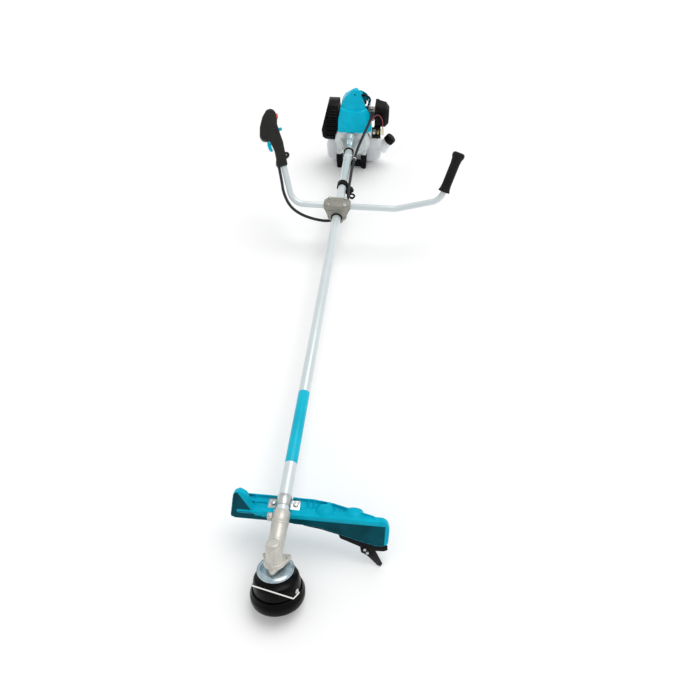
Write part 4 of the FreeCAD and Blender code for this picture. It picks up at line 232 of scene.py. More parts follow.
# vinyl wrap, calendered: even, glossier than the enamel under it
vinylWrap = mouldedSkin("vinylWrap", ("#00AEC8", "#00B8D2"), 0.0012, (0.2, 0.28), "#35C3D6", patch=0.05,
                        bump=0.03, Specular_IOR_Level=0.2)
# ABS, injection moulded and glossy: saturated teal, paler along its edges
tealAbs = mouldedSkin("tealAbs", ("#00B6D6", "#00C2E2"), 0.0008, (0.22, 0.32), "#5CD3E6", bump=0.04,
                      Specular_IOR_Level=0.12)
# the same ABS in signal red on the stop switch: a little less glossy
redAbs = mouldedSkin("redAbs", ("#DE3820", "#E84A30"), 0.0008, (0.28, 0.36), "#F07258", bump=0.05)
# glass-filled nylon: near black, satin, with grey flow marks; edges go grey
blackNylon = mouldedSkin("blackNylon", ("#040405", "#0A0A0B"), 0.0010, (0.4, 0.55), "#222324",
                         Specular_IOR_Level=0.12)
# unfilled nylon of the line head, from a polished tool: blacker, with sharper reflections
glossNylon = mouldedSkin("glossNylon", ("#030304", "#080809"), 0.0009, (0.22, 0.34), "#1E1F20",
                         Specular_IOR_Level=0.1)
# the throttle handle's nylon is not quite black, with a soft sheen from the hand
charcoalNylon = mouldedSkin("charcoalNylon", ("#161614", "#201F1D"), 0.0010, (0.34, 0.46), "#3A3936",
                            Specular_IOR_Level=0.3)
# extruded nylon line and ties: milky white and smooth
nylonLine = mouldedSkin("nylonLine", ("#E2E3DE", "#EFF0EA"), 0.0008, (0.22, 0.32), "#FFFFFF", patch=0.02,
                        bump=0.03)
# undyed nylon of the plug: cream, satin
creamNylon = mouldedSkin("creamNylon", ("#DEDAB4", "#E8E4C4"), 0.0008, (0.35, 0.45), "#F2EFDD", patch=0.01)
# extruded PVC on the wires: dull red
redPvc = mouldedSkin("redPvc", ("#8E2F36", "#A5434A"), 0.0008, (0.35, 0.45), "#C26A6E", patch=0.01)
# moulded rubber: dull black with a bloom
blackRubber = mouldedSkin("blackRubber", ("#0D0E0E", "#161717"), 0.0009, (0.5, 0.65), "#2E3030", bump=0.2,
                          Specular_IOR_Level=0.2)
# the sleeve's rubber is greyer, and its ridges are rubbed pale
sleeveRubber = mouldedSkin("sleeveRubber", ("#1E2326", "#292F33"), 0.0008, (0.42, 0.55), "#454B4F", bump=0.1,
                           Specular_IOR_Level=0.3)
# blow-moulded polyethylene: milky, a little light passes through its wall
milkyPolyethylene = mouldedSkin("milkyPolyethylene", ("#DDE1E4", "#E7EAEC"), 0.0014, (0.3, 0.4), "#EDEFF0",
                                bump=0.08, Subsurface_Weight=0.2, Subsurface_Scale=0.006,
                                Subsurface_Radius=(1.0, 1.0, 1.0))

# painted shade on the guard's skirt face, a darker teal, in mm from its lip: where it starts, the wing it
# covers at the left, its right end, how wide each border blends, and the size of its shade patches
guardShadeBand = {"lip": (0, 93.0, -2.0), "depth": 13.0, "soft": 0.5, "wing": -66.0, "lean": 0.66, "end": 222.0,
             "border": 2.0, "patch": 50.0, "dark": "#003C47", "light": "#004E5B"}


def guardSkin():
    # polypropylene guard: lip and tray in its plain teal, and painted shade, a darker teal, on the skirt face
    band = guardShadeBand
    material = mouldedSkin("guardPolypropylene", ("#00A6C2", "#00B2CE"), 0.0010, (0.3, 0.42), "#3CC4D8",
                           bump=0.08, Specular_IOR_Level=0.06)
    tree = material.node_tree
    shader = tree.nodes["Principled BSDF"]
    plain = shader.inputs["Base Color"].links[0].from_socket
    place = addNode(tree, "ShaderNodeTexCoord").outputs["Object"]
    normal = addNode(tree, "ShaderNodeNewGeometry").outputs["True Normal"]
    facing = addNode(tree, "ShaderNodeVectorMath", {"operation": "DOT_PRODUCT", 1: guardFace}, {0: normal})
    skirt = addNode(tree, "ShaderNodeMapRange", {"From Min": 0.9, "From Max": 0.97},
                    {"Value": facing.outputs["Value"]})
    fromLip = addNode(tree, "ShaderNodeVectorMath", {"operation": "SUBTRACT", 1: at(*band["lip"])},
                      {0: place}).outputs["Vector"]
    # below the plain band under the lip
    down = addNode(tree, "ShaderNodeVectorMath", {"operation": "DOT_PRODUCT", 1: guardUp}, {0: fromLip})
    below = addNode(tree, "ShaderNodeMapRange", {"From Min": -(band["depth"] - band["soft"]) / 1000,
                                                 "From Max": -(band["depth"] + band["soft"]) / 1000},
                    {"Value": down.outputs["Value"]})
    # or on the wing, left of a leaning line
    leaning = addNode(tree, "ShaderNodeVectorMath",
                      {"operation": "DOT_PRODUCT", 1: Vector((1, 0, 0)) + guardUp * band["lean"]}, {0: fromLip})
    wing = addNode(tree, "ShaderNodeMapRange", {"From Min": band["wing"] / 1000,
                                                "From Max": (band["wing"] - band["border"]) / 1000},
                   {"Value": leaning.outputs["Value"]})
    shadedArea = addNode(tree, "ShaderNodeMath", {"operation": "MAXIMUM"},
                      {0: below.outputs["Result"], 1: wing.outputs["Result"]})
    # and not on the plain edge at the right end
    across = addNode(tree, "ShaderNodeSeparateXYZ", links={"Vector": fromLip})
    inside = addNode(tree, "ShaderNodeMapRange", {"From Min": band["end"] / 1000,
                                                  "From Max": (band["end"] - band["border"]) / 1000},
                     {"Value": across.outputs["X"]})
    bounded = addNode(tree, "ShaderNodeMath", {"operation": "MULTIPLY"},
                      {0: shadedArea.outputs["Value"], 1: inside.outputs["Result"]})
    share = addNode(tree, "ShaderNodeMath", {"operation": "MULTIPLY"},
                    {0: skirt.outputs["Result"], 1: bounded.outputs["Value"]})
    # patchy darker teal mixed onto the skirt face: painted shade
    shadePatches = addNode(tree, "ShaderNodeTexNoise", {"Scale": 1000 / band["patch"], "Detail": 3.0},
                   {"Vector": place})
    dark = addNode(tree, "ShaderNodeValToRGB", {"stops": [(0.35, band["dark"]), (0.65, band["light"])]},
                   {"Fac": shadePatches.outputs["Fac"]})
    mixed = addNode(tree, "ShaderNodeMix", {"data_type": "RGBA"},
                    {"Factor": share.outputs["Value"], 6: plain, 7: dark.outputs["Color"]})
    tree.links.new(mixed.outputs[2], shader.inputs["Base Color"])
    return material


guardPolypropylene = guardSkin()
print("materials made")

nodeFinish = {
    "gearcase": castAluminium, "ring_gear": hardenedSteel, "output_shaft": zincSteel,
    "pinion_gear": hardenedSteel, "shield_disc": turnedAluminium, "bearings": zincSteel,
    "screws": zincSteel, "line_head_housing": glossNylon, "line_head_base": glossNylon,
    "line_spool": blackNylon, "spool_spring": zincSteel, "bump_knob": glossNylon,
    "line_eyelets": zincSteel, "cutting_line": nylonLine, "guard_shell": guardPolypropylene,
    "guard_bracket": zincSteel, "guard_extension": blackNylon, "line_knife": blackenedSteel,
    "drive_tube": silverEnamel, "drive_shaft": zincSteel, "handlebar_left": silverEnamel,
    "handlebar_right": silverEnamel, "handle_clamp_top": sandCastAluminium,
    "handle_clamp_base": sandCastAluminium, "handle_clamp_lower": sandCastAluminium,
    "rubber_bushes": blackRubber, "grip_right": blackRubber, "throttle_shells": charcoalNylon,
    "throttle_trigger": tealAbs, "lock_button": tealAbs, "stop_switch": redAbs,
    "throttle_cable": sleeveRubber, "stop_wires": redPvc, "hanger_clamp": blackNylon,
    "hanger_knob": blackNylon, "clutch_housing": housingAluminium, "clutch_drum": hardenedSteel,
    "clutch_shoes": hardenedSteel, "flywheel": engineCasting, "crankshaft": zincSteel,
    "crankcase": engineCasting, "cylinder": engineCasting, "spark_plug": zincSteel,
    "plug_lead": blackRubber, "ignition_coil": blackNylon, "muffler": heatStainedSteel,
    "muffler_cover": blackNylon, "intake_block": blackNylon, "carburettor": engineCasting,
    "throttle_arm": zincSteel, "air_filter_case": blackNylon, "air_filter_cover": blackNylon,
    "choke_lever": blackNylon, "cylinder_cover": tealAbs, "starter_housing": blackNylon,
    "starter_pulley": blackNylon, "starter_handle": blackNylon, "fuel_tank": milkyPolyethylene,
    "fuel_cap": blackNylon, "engine_stand": blackNylon}

# degrees of bend past which an edge counts as sharp, and under which two faces are one flat
edgeFacts = {"sharp": 35, "flat": 0.6, "segments": 2, "merge": 1e-6}


def smoothGroup():
    # smooth shading, with sharp edges kept
    group = bpy.data.node_groups.new("smoothByAngle", "GeometryNodeTree")
    group.interface.new_socket("Geometry", in_out="INPUT", socket_type="NodeSocketGeometry")
    group.interface.new_socket("Geometry", in_out="OUTPUT", socket_type="NodeSocketGeometry")
    start = addNode(group, "NodeGroupInput")
    faces = addNode(group, "GeometryNodeSetShadeSmooth", {"domain": "FACE"},
                    {"Geometry": start.outputs["Geometry"]})
    angle = addNode(group, "GeometryNodeInputMeshEdgeAngle")
    sharp = addNode(group, "FunctionNodeCompare",
                    {"operation": "GREATER_THAN", "B": math.radians(edgeFacts["sharp"])},
                    {"A": angle.outputs["Unsigned Angle"]})
    edges = addNode(group, "GeometryNodeSetShadeSmooth", {"domain": "EDGE", "Shade Smooth": False},
                    {"Geometry": faces.outputs["Geometry"], "Selection": sharp.outputs["Result"]})
    addNode(group, "NodeGroupOutput", links={"Geometry": edges.outputs["Geometry"]})
    return group


smoothing = smoothGroup()


def edged(piece, width):
    # loose triangles are joined, flat faces made whole, and sharp edges given a small moulded radius
    weld = piece.modifiers.new("weld", "WELD")
    weld.merge_threshold = edgeFacts["merge"]
    flat = piece.modifiers.new("flat", "DECIMATE")
    flat.decimate_type = "DISSOLVE"
    flat.angle_limit = math.radians(edgeFacts["flat"])
    bevel = piece.modifiers.new("edges", "BEVEL")
    bevel.width = width / 1000
    bevel.segments = edgeFacts["segments"]
    bevel.limit_method = "ANGLE"
    bevel.angle_limit = math.radians(edgeFacts["sharp"])
    bevel.use_clamp_overlap = True
    bevel.harden_normals = False
    smooth = piece.modifiers.new("smooth", "NODES")
    smooth.node_group = smoothing


# the radius on a node's edges, in mm
edgeWidth = {"other": 0.5, "screws": 0.3, "bearings": 0.2, "line_head_base": 0.6, "line_head_housing": 0.6,
             "grip_right": 1.5, "fuel_cap": 0.8, "engine_stand": 1.0, "muffler_cover": 1.0,
             "air_filter_cover": 1.2, "starter_housing": 1.0, "hanger_knob": 0.8}
for name, node in nodes.items():
    node.data.materials.clear()
    node.data.materials.append(nodeFinish[name])
    edged(node, edgeWidth.get(name, edgeWidth["other"]))
print("CAD nodes dressed")


# cast and moulded forms, with the rounded corners that a casting tool leaves: voxel in mm and rounding passes
softForms = {
    "clutch_housing": (1.3, 4), "cylinder_cover": (1.3, 2), "fuel_tank": (2.2, 9), "throttle_shells": (1.0, 5),
    "handle_clamp_top": (1.0, 4), "handle_clamp_base": (1.0, 4), "handle_clamp_lower": (1.0, 4),
    "guard_shell": (1.6, 3), "grip_right": (1.2, 5)}


def softened(name, voxel, passes):
    # a merged copy of a node with its corners rounded, in the node's place
    joined = bmesh.new()
    joined.from_mesh(nodes[name].data)
    bmesh.ops.remove_doubles(joined, verts=joined.verts, dist=edgeFacts["merge"])
    mesh = bpy.data.meshes.new(name + "_form")
    joined.to_mesh(mesh)
    joined.free()
    mesh.materials.append(nodeFinish[name])
    piece = bpy.data.objects.new(name + "_form", mesh)
    scene.collection.objects.link(piece)
    remesh = piece.modifiers.new("voxels", "REMESH")
    remesh.mode = "VOXEL"
    remesh.voxel_size = voxel / 1000
    remesh.use_smooth_shade = True
    rounding = piece.modifiers.new("rounding", "SMOOTH")
    rounding.factor = 0.5
    rounding.iterations = passes
    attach(piece, "frame")
    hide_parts(name)


for name, (voxel, passes) in softForms.items():
    softened(name, voxel, passes)
print("cast and moulded forms rounded")


def finished(shape, name, material, body, replaced=()):
    # closes a bmesh into a piece that rides on a body
    bmesh.ops.remove_doubles(shape, verts=shape.verts, dist=edgeFacts["merge"])
    bmesh.ops.recalc_face_normals(shape, faces=shape.faces)
    mesh = bpy.data.meshes.new(name)
    shape.to_mesh(mesh)
    shape.free()
    mesh.materials.append(material)
    mesh.shade_smooth()
    piece = bpy.data.objects.new(name, mesh)
    scene.collection.objects.link(piece)
    edges = piece.modifiers.new("smooth", "NODES")
    edges.node_group = smoothing
    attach(piece, body)
    for node in replaced:
        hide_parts(node)


def turnedRing(shape, profile, centre, axis, steps):
    # a closed section, given as (mm from the axis, mm along it), spun into a ring
    corners = [shape.verts.new((radius / 1000, 0, height / 1000)) for radius, height in profile]
    section = [shape.edges.new((corners[i], corners[(i + 1) % len(corners)])) for i in range(len(corners))]
    before = set(shape.verts) - set(corners)
    bmesh.ops.spin(shape, geom=corners + section, cent=(0, 0, 0), axis=(0, 0, 1), dvec=(0, 0, 0),
                   angle=math.radians(360), steps=steps, use_merge=True)
    new = [vert for vert in shape.verts if vert not in before]
    turn = Vector((0, 0, 1)).rotation_difference(Vector(axis))
    bmesh.ops.transform(shape, matrix=Matrix.Translation(centre) @ turn.to_matrix().to_4x4(), verts=new)


def hoop(inner, outer, width):
    # the section of a plain band, centred on its width
    return [(inner, -width / 2), (outer, -width / 2), (outer, width / 2), (inner, width / 2)]


def block(shape, size, centre, turn=Quaternion(), edge=0.4, segments=2):
    # a block with bevelled edges, sizes in mm
    made = bmesh.ops.create_cube(shape, size=1.0)["verts"]
    scale = Matrix.Diagonal((size[0] / 1000, size[1] / 1000, size[2] / 1000, 1))
    bmesh.ops.transform(shape, matrix=scale, verts=made)
    edges = list({link for vert in made for link in vert.link_edges})
    grown = bmesh.ops.bevel(shape, geom=made + edges, offset=edge / 1000, segments=segments, affect="EDGES",
                            profile=0.5, material=-1, clamp_overlap=True)
    new = {vert for face in grown["faces"] for vert in face.verts} | {vert for vert in made if vert.is_valid}
    bmesh.ops.transform(shape, matrix=Matrix.Translation(centre) @ turn.to_matrix().to_4x4(), verts=list(new))


def routeLine(name, stops):
    # the line that a NURBS spline takes through its route, as points in metres
    curve = bpy.data.curves.new(name, "CURVE")
    curve.dimensions = "3D"
    curve.resolution_u = 24
    spline = curve.splines.new("NURBS")
    spline.points.add(len(stops) - 1)
    for point, stop in zip(spline.points, stops):
        point.co = (*stop, 1.0)
    spline.order_u = 3
    spline.use_endpoint_u = True
    holder = bpy.data.objects.new(name, curve)
    scene.collection.objects.link(holder)
    bpy.context.view_layer.update()
    drawn = holder.evaluated_get(bpy.context.evaluated_depsgraph_get())
    mesh = bpy.data.meshes.new_from_object(drawn)
    points = [vert.co.copy() for vert in mesh.vertices]
    bpy.data.objects.remove(holder)
    bpy.data.meshes.remove(mesh)
    return points


def evenly(points, step):
    # the same line with points a step apart
    lengths = [0.0]
    for first, second in zip(points, points[1:]):
        lengths.append(lengths[-1] + (second - first).length)
    count = max(2, round(lengths[-1] / step))
    line, index = [], 0
    for part in range(count + 1):
        want = lengths[-1] * part / count
        while index < len(points) - 2 and lengths[index + 1] < want:
            index += 1
        share = (want - lengths[index]) / max(lengths[index + 1] - lengths[index], 1e-9)
        line.append(points[index].lerp(points[index + 1], min(max(share, 0.0), 1.0)))
    return line


def tubeAlong(shape, line, radii, sides):
    # a ring drawn along a line, with a radius for each of its points
    last = len(line) - 1
    tangents = [(line[min(i + 1, last)] - line[max(i - 1, 0)]).normalized() for i in range(last + 1)]
    turn = Vector((0, 0, 1)).rotation_difference(tangents[0])
    here = Matrix.Translation(line[0]) @ turn.to_matrix().to_4x4() @ Matrix.Scale(radii[0], 4)
    ring = bmesh.ops.create_circle(shape, cap_ends=True, cap_tris=False, radius=1.0, segments=sides,
                                   matrix=here)["verts"]
    edges = list({link for vert in ring for link in vert.link_edges})
    for index in range(1, len(line)):
        grown = bmesh.ops.extrude_edge_only(shape, edges=edges)["geom"]
        ring = [part for part in grown if isinstance(part, bmesh.types.BMVert)]
        chosen = set(ring)
        edges = [part for part in grown
                 if isinstance(part, bmesh.types.BMEdge) and set(part.verts) <= chosen]
        turn = tangents[index - 1].rotation_difference(tangents[index]) @ turn
        there = Matrix.Translation(line[index]) @ turn.to_matrix().to_4x4() @ Matrix.Scale(radii[index], 4)
        bmesh.ops.transform(shape, matrix=there @ here.inverted(), verts=ring)
        here = there
    bmesh.ops.contextual_create(shape, geom=edges)


# the throttle cable and the stop wires run in one corrugated sleeve; each ridge is drawn as one wave of radii
sleeveSet = {"radius": 4.9, "ridge": 0.4, "pitch": 3.2, "wave": (1, 0.3, -0.4, 0.3), "sides": 16,
             "route": [(-189.8, 1199.8, 117.5), (-179.2, 1173.2, 83.8), (-173.1, 1151.2, 57.0),
                       (-151.0, 1126.0, 24.0), (-116.0, 1116.0, 2.0), (-72.0, 1118.0, -16.0),
                       (-26.0, 1132.0, -32.0), (14.0, 1166.0, -34.0), (25.0, 1214.0, -16.0),
                       (23.0, 1269.0, 6.0), (23.0, 1325.0, 6.0), (21.0, 1385.0, -2.0), (24.0, 1460.0, -3.0),
                       (32.0, 1498.0, 16.0), (52.0, 1530.0, 54.0), (73.5, 1568.0, 91.1),
                       (73.5, 1608.0, 91.1)]}
sleeveStep = sleeveSet["pitch"] / len(sleeveSet["wave"]) / 1000
sleeveLine = evenly(routeLine("sleeveRoute", [at(*stop) for stop in sleeveSet["route"]]), sleeveStep)
sleeveRadii = []
for index in range(len(sleeveLine)):
    wave = sleeveSet["wave"][index % len(sleeveSet["wave"])]
    sleeveRadii.append((sleeveSet["radius"] - sleeveSet["ridge"] + wave * sleeveSet["ridge"]) / 1000)
shape = bmesh.new()
tubeAlong(shape, sleeveLine, sleeveRadii, sleeveSet["sides"])
finished(shape, "throttleSleeve", sleeveRubber, "frame", ["throttle_cable"])
print("throttle sleeve laid")

# red stop wires in one arch, from the sleeve to their plug
wireSet = {"radius": 1.3, "sides": 10, "step": 2.0,
           "route": [(69.5, 1551, 80), (84, 1557, 108), (102, 1562, 110), (114, 1564, 88), (115, 1565, 68),
                     (115, 1565, 53)]}
wireLine = evenly(routeLine("wireRoute", [at(*stop) for stop in wireSet["route"]]), wireSet["step"] / 1000)
shape = bmesh.new()
tubeAlong(shape, wireLine, [wireSet["radius"] / 1000] * len(wireLine), wireSet["sides"])
finished(shape, "stopWires", redPvc, "frame", ["stop_wires"])

# the pale plug: size, place and edge of its body, latch and collar
plugSet = {"body": ((9, 8, 20), (115, 1565, 42), 0.8), "latch": ((3, 2, 12), (115, 1560.5, 44), 0.4),
           "collar": ((6, 5.5, 5), (115, 1565, 53.5), 0.6)}
shape = bmesh.new()
for size, centre, edge in plugSet.values():
    block(shape, size, at(*centre), edge=edge)
finished(shape, "stopWirePlug", creamNylon, "frame")

# bare teal band of vinyl wound once round the tube, its ends pressed down
bandSet = {"start": 211.5, "end": 411.7, "thickness": 0.15, "sunk": 0.05, "lip": 0.3, "lipShare": 0.6,
           "steps": 96}
shape = bmesh.new()
length = bandSet["end"] - bandSet["start"]
inner = tubeFacts["radius"] - bandSet["sunk"]
outer = tubeFacts["radius"] + bandSet["thickness"]
pressed = tubeFacts["radius"] + bandSet["thickness"] * bandSet["lipShare"]
turnedRing(shape, [(inner, 0), (pressed, 0), (outer, bandSet["lip"]), (outer, length - bandSet["lip"]),
                   (pressed, length), (inner, length)], at(0, bandSet["start"], 0), (0, 1, 0), bandSet["steps"])
finished(shape, "vinylBand", vinylWrap, "frame")

# nylon tie that holds the sleeve against the tube: a loop round each, and its square head between them
tieSet = {"y": 1452.0, "width": 4.6, "tubeLoop": (14.1, 15.1), "sleeveLoop": (5.4, 6.5), "head": (6, 5.5, 4.5),
          "headPlace": (12.5, 12.5), "headTurn": 45, "headEdge": 0.6}
held = min(sleeveLine, key=lambda point: abs(point.y - at(0, tieSet["y"], 0).y))
sleeveX, sleeveZ = (held.x - crossing.x) * 1000, (held.z - crossing.z) * 1000
shape = bmesh.new()
turnedRing(shape, hoop(*tieSet["tubeLoop"], tieSet["width"]), at(0, tieSet["y"], 0), (0, 1, 0), 72)
turnedRing(shape, hoop(*tieSet["sleeveLoop"], tieSet["width"]), at(sleeveX, tieSet["y"], sleeveZ),
           (0, 1, 0), 48)
headX, headZ = tieSet["headPlace"]
block(shape, tieSet["head"], at(headX, tieSet["y"], headZ),
      Quaternion((0, 1, 0), math.radians(tieSet["headTurn"])), edge=tieSet["headEdge"])
finished(shape, "sleeveTie", nylonLine, "frame")
print("wires, band and tie made")

# gearcase casting, sections as (radius, distance) in mm: the neck along the tube with its machined seams and
# clamping collar, the domed boss with its groove, the flange with its nose, the rib down to it, the clamping
# lug, and two bosses on the flange's shoulders, for the guard's and the gear grease's screws
caseSet = {
    "neck": [(0.2, -8), (14, -8), (16.6, -3), (17.2, 8), (17.2, 29.4), (16.7, 30), (17.2, 30.6), (17.6, 36),
             (17.9, 60.8), (17.3, 61.6), (17.3, 62.2), (18.4, 63), (18.5, 67.2), (18.0, 68), (18.5, 68.8),
             (18.6, 92.6), (18.0, 93.8), (17.0, 94), (14.1, 94), (14.1, 70), (0.2, 70)],
    "boss": [(0.2, 32.4), (8, 32.2), (11.6, 31.3), (13.0, 30.4), (14.0, 28.6), (14.3, 26), (14.3, 24.4),
             (15.6, 24.2), (15.9, 23.4), (15.9, 21.8), (15.2, 21.2), (15.9, 20.6), (17.2, 4), (18.4, -8),
             (19.2, -13.2), (21, -13.8), (21.4, -15), (21.2, -17), (23, -20.2), (0.2, -20.2)],
    "flange": [(0, 35.0), (35.0, -27.0), (-35.0, -27.0)], "flangeRadii": [5.0, 7.0, 7.0], "arcSteps": 6,
    "flangeTop": -20.0, "flangeFoot": -27.0, "flangeEdge": 0.9,
    "rib": [(14.4, 21), (17.6, 19.5), (24.5, -20.1), (14.4, -20.1)], "ribHalf": 1.5,
    "lug": (11.0, 14.0, 15.6), "lugPlace": (-23.5, 81, 0), "lugEdge": 2.2,
    "screwBoss": [(0.2, 0), (5.2, 0), (5.2, 3.2), (4.4, 4), (2.6, 4), (2.6, 2.4), (0.2, 2.4)],
    "screwPlaces": [(-25.5, -17, -20.1), (25.5, -17, -20.1)]}


def raisedFace(shape, places, reach):
    # a flat face drawn out by a reach in mm; gives its lower and upper corners
    ring = [shape.verts.new(place) for place in places]
    grown = bmesh.ops.extrude_face_region(shape, geom=[shape.faces.new(ring)])["geom"]
    upper = [part for part in grown if isinstance(part, bmesh.types.BMVert)]
    bmesh.ops.translate(shape, vec=reach / 1000, verts=upper)
    return ring, upper


def flangePlate(shape, facts):
    # a flat plate with rounded corners and softened rims, across the head's axis
    points, places = [], [Vector(place) for place in facts["flange"]]
    for index, here in enumerate(places):
        radius = facts["flangeRadii"][index]
        first = (places[index - 1] - here).normalized()
        second = (places[(index + 1) % len(places)] - here).normalized()
        half = first.angle(second) / 2
        reach = radius / math.tan(half)
        start, end = here + first * reach, here + second * reach
        middle = here + (first + second).normalized() * (radius / math.sin(half))
        for step in range(facts["arcSteps"] + 1):
            turn = (start - middle).lerp(end - middle, step / facts["arcSteps"]).normalized() * radius
            points.append(middle + turn)
    top, foot = facts["flangeTop"], facts["flangeFoot"]
    ring, upper = raisedFace(shape, [onHead(point.x, point.y, foot) for point in points], headUp * (top - foot))
    made = set(ring) | set(upper)
    # the rims run across the axis, and the short edges between them along it
    rims = [link for link in shape.edges if set(link.verts) <= made
            and abs((link.verts[0].co - link.verts[1].co).normalized().dot(headUp)) < 0.1]
    bmesh.ops.bevel(shape, geom=rims, offset=facts["flangeEdge"] / 1000, segments=3, affect="EDGES",
                    profile=0.5, material=-1, clamp_overlap=True)


shape = bmesh.new()
turnedRing(shape, caseSet["neck"], crossing, (0, 1, 0), 96)
turnedRing(shape, caseSet["boss"], crossing, headUp, 96)
flangePlate(shape, caseSet)
raisedFace(shape, [onHead(-caseSet["ribHalf"], fore, height) for fore, height in caseSet["rib"]],
           headSide * (caseSet["ribHalf"] * 2))
block(shape, caseSet["lug"], at(*caseSet["lugPlace"]), edge=caseSet["lugEdge"], segments=3)
for place in caseSet["screwPlaces"]:
    turnedRing(shape, caseSet["screwBoss"], onHead(*place), headUp, 32)
finished(shape, "gearcaseCasting", castAluminium, "frame", ["gearcase"])

# bright beads on the shield disc's rim: radius, depth under the shafts' crossing, and half thickness
beadSet = {"upper": (37.6, 35.4, 1.1), "lower": (36.4, 40.6, 0.9)}
shape = bmesh.new()
for rim, depth, size in beadSet.values():
    profile = [(rim + size * math.cos(math.radians(turn)), size * math.sin(math.radians(turn)))
               for turn in range(0, 360, 45)]
    turnedRing(shape, profile, onHead(0, 0, -depth), headUp, 96)
finished(shape, "discBeads", turnedAluminium, "head")
print("gearcase made")

# louvres pressed out of the muffler guard's front, one on each web between its slots; the guard's foot is set
# back, its top leans back and its left side leans in, by so much for each mm above a level
louvreSet = {"low": -2.0, "pitch": 8.5, "count": 13, "left": -95.0, "right": -53.0, "face": 1582.6,
             "height": 3.4, "depth": 5.0, "turn": 24, "edge": 0.7, "footTop": 4, "footBack": 4, "topFrom": 84,
             "topLean": 0.62, "sideFrom": 32, "sideLean": 0.26}
shape = bmesh.new()
for index in range(louvreSet["count"]):
    level = louvreSet["low"] + index * louvreSet["pitch"]
    face = louvreSet["face"] + (0 if level > louvreSet["footTop"] else louvreSet["footBack"])
    face += max(0, level - louvreSet["topFrom"]) * louvreSet["topLean"]
    left = louvreSet["left"] + max(0, level - louvreSet["sideFrom"]) * louvreSet["sideLean"]
    wide = louvreSet["right"] - left
    block(shape, (wide, louvreSet["depth"], louvreSet["height"]),
          at(left + wide / 2, face, level + louvreSet["height"] / 2),
          Quaternion((1, 0, 0), math.radians(louvreSet["turn"])), edge=louvreSet["edge"])
finished(shape, "mufflerLouvres", blackNylon, "frame")

# fuel fittings under the air filter: a bracket of a plate and a shelf, as size, place and edge, and the turned
# fittings on it, as name, finish, place, steps and section
fuelSet = {"bracket": [((32, 5, 42), (91, 1584.5, 27), 1.2), ((24, 8, 6), (94, 1588, 47), 1.0)],
           "fittings": [
               ("fuelBarrel", zincSteel, (84, 1583, 35), 48,
                [(0.2, 0), (7.5, 0), (7.5, 3), (6.2, 4.2), (5.6, 8), (5.4, 13), (4.6, 14.2), (0.2, 14.2)]),
               ("mixtureScrew", drawnBrass, (98, 1583, 37), 32,
                [(0.2, 0), (4.6, 0), (4.6, 8), (4.0, 8.8), (2.2, 9), (2.2, 15), (3.4, 15.4), (3.4, 19),
                 (2.8, 19.6), (0.2, 19.6)]),
               ("primingBulb", blackRubber, (96, 1583, 17), 48,
                [(0.2, 0), (9.5, 0), (9.5, 2), (7.6, 3), (7.4, 7), (6.6, 10.2), (4.6, 12.6), (2.0, 13.8),
                 (0.2, 14)])]}
shape = bmesh.new()
for size, centre, edge in fuelSet["bracket"]:
    block(shape, size, at(*centre), edge=edge)
finished(shape, "fuelBracket", blackNylon, "frame")
for name, finish, centre, steps, profile in fuelSet["fittings"]:
    shape = bmesh.new()
    turnedRing(shape, profile, at(*centre), (0, -1, 0), steps)
    finished(shape, name, finish, "frame")

# red slider of the stop switch: the CAD block a little wider and lower, set back from the screws
switchSet = {"reach": (0.5, 1.0, -5.0), "shift": (-1.5, -2.0, -1.5), "edge": 2.2}
switchLow, switchHigh = [Vector(corner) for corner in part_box("stop_switch")]
size = (switchHigh - switchLow) * 1000 + Vector(switchSet["reach"])
shape = bmesh.new()
block(shape, size, (switchLow + switchHigh) / 2 + Vector(switchSet["shift"]) / 1000, edge=switchSet["edge"],
      segments=4)
finished(shape, "stopSwitchSlider", redAbs, "switch", ["stop_switch"])

# guard step left of the tube, and the moulding pins under its lip: how far down, and how far proud
guardSet = {"step": (22, 7, 17), "stepPlace": (-33, 91.5, -9), "stepEdge": 2.0, "pins": (-46, 34, 110),
            "pinDown": 8.0, "pinProud": 0.2, "pin": [(0.1, -1), (1.6, -1), (1.6, 0.5), (1.1, 1.0), (0.1, 1.1)]}
shape = bmesh.new()
block(shape, guardSet["step"], at(*guardSet["stepPlace"]), Quaternion((1, 0, 0), tilt - math.radians(90)),
      edge=guardSet["stepEdge"], segments=3)
offLip = guardFace * guardSet["pinProud"] - headUp * guardSet["pinDown"]
for x in guardSet["pins"]:
    turnedRing(shape, guardSet["pin"], at(x, *guardShadeBand["lip"][1:]) + offLip / 1000, guardFace, 20)
finished(shape, "guardStep", guardPolypropylene, "frame")
print("fittings made")

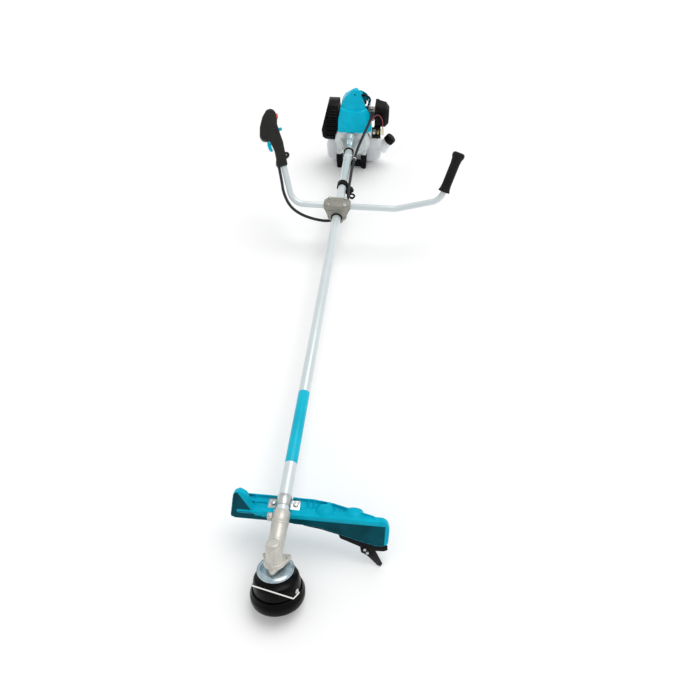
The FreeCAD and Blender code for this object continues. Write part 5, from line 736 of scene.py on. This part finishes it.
# pale floor, even light from all round and one broad soft lamp from above
stageSet = {"floorSize": 12.0, "floorColour": "#FBFBFB", "worldStrength": 0.74, "keyStrength": 1.2,
            "keyAngle": 40, "keyAim": (-0.28, -0.3, -1.0)}
shape = bmesh.new()
bmesh.ops.create_grid(shape, x_segments=2, y_segments=2, size=stageSet["floorSize"] / 2)
floorMesh = bpy.data.meshes.new("studioFloor")
shape.to_mesh(floorMesh)
shape.free()
floor = bpy.data.objects.new("studioFloor", floorMesh)
scene.collection.objects.link(floor)
# matt paint: even, with hardly a shine
floorPaint = newMaterial("mattFloor", Roughness=0.9, Specular_IOR_Level=0.1,
                         Base_Color=linear(stageSet["floorColour"]))[0]
floor.data.materials.append(floorPaint)

world = bpy.data.worlds.new("studio")
scene.world = world
world.use_nodes = True
background = world.node_tree.nodes["Background"]
background.inputs["Color"].default_value = (1, 1, 1, 1)
background.inputs["Strength"].default_value = stageSet["worldStrength"]

keyLamp = bpy.data.lights.new("keyLight", "SUN")
keyLamp.energy = stageSet["keyStrength"]
keyLamp.angle = math.radians(stageSet["keyAngle"])
keyLight = bpy.data.objects.new("keyLight", keyLamp)
keyLight.rotation_mode = "QUATERNION"
keyLight.rotation_quaternion = Vector(stageSet["keyAim"]).to_track_quat("-Z", "Y")
scene.collection.objects.link(keyLight)

# the camera's place, the way it looks in degrees, and its lens on a 36 mm sensor
cameraSet = {"place": (216.59, -507.4, 1235.74), "azimuth": -6.32, "down": 48.97, "roll": -0.77, "lens": 32.437,
             "sensor": 36.0, "farthest": 50.0}
camera = bpy.data.cameras.new("camera")
camera.lens = cameraSet["lens"]
camera.sensor_width = cameraSet["sensor"]
camera.clip_end = cameraSet["farthest"]
cameraObject = bpy.data.objects.new("camera", camera)
azimuth, down = math.radians(cameraSet["azimuth"]), math.radians(cameraSet["down"])
aim = Vector((math.sin(azimuth) * math.cos(down), math.cos(azimuth) * math.cos(down), -math.sin(down)))
roll = Quaternion((0, 0, 1), math.radians(cameraSet["roll"]))
cameraObject.rotation_mode = "QUATERNION"
cameraObject.rotation_quaternion = aim.to_track_quat("-Z", "Y") @ roll
cameraObject.location = at(*cameraSet["place"])
scene.collection.objects.link(cameraObject)
scene.camera = cameraObject
scene.view_settings.view_transform = "Standard"
print("stage, light and camera set")
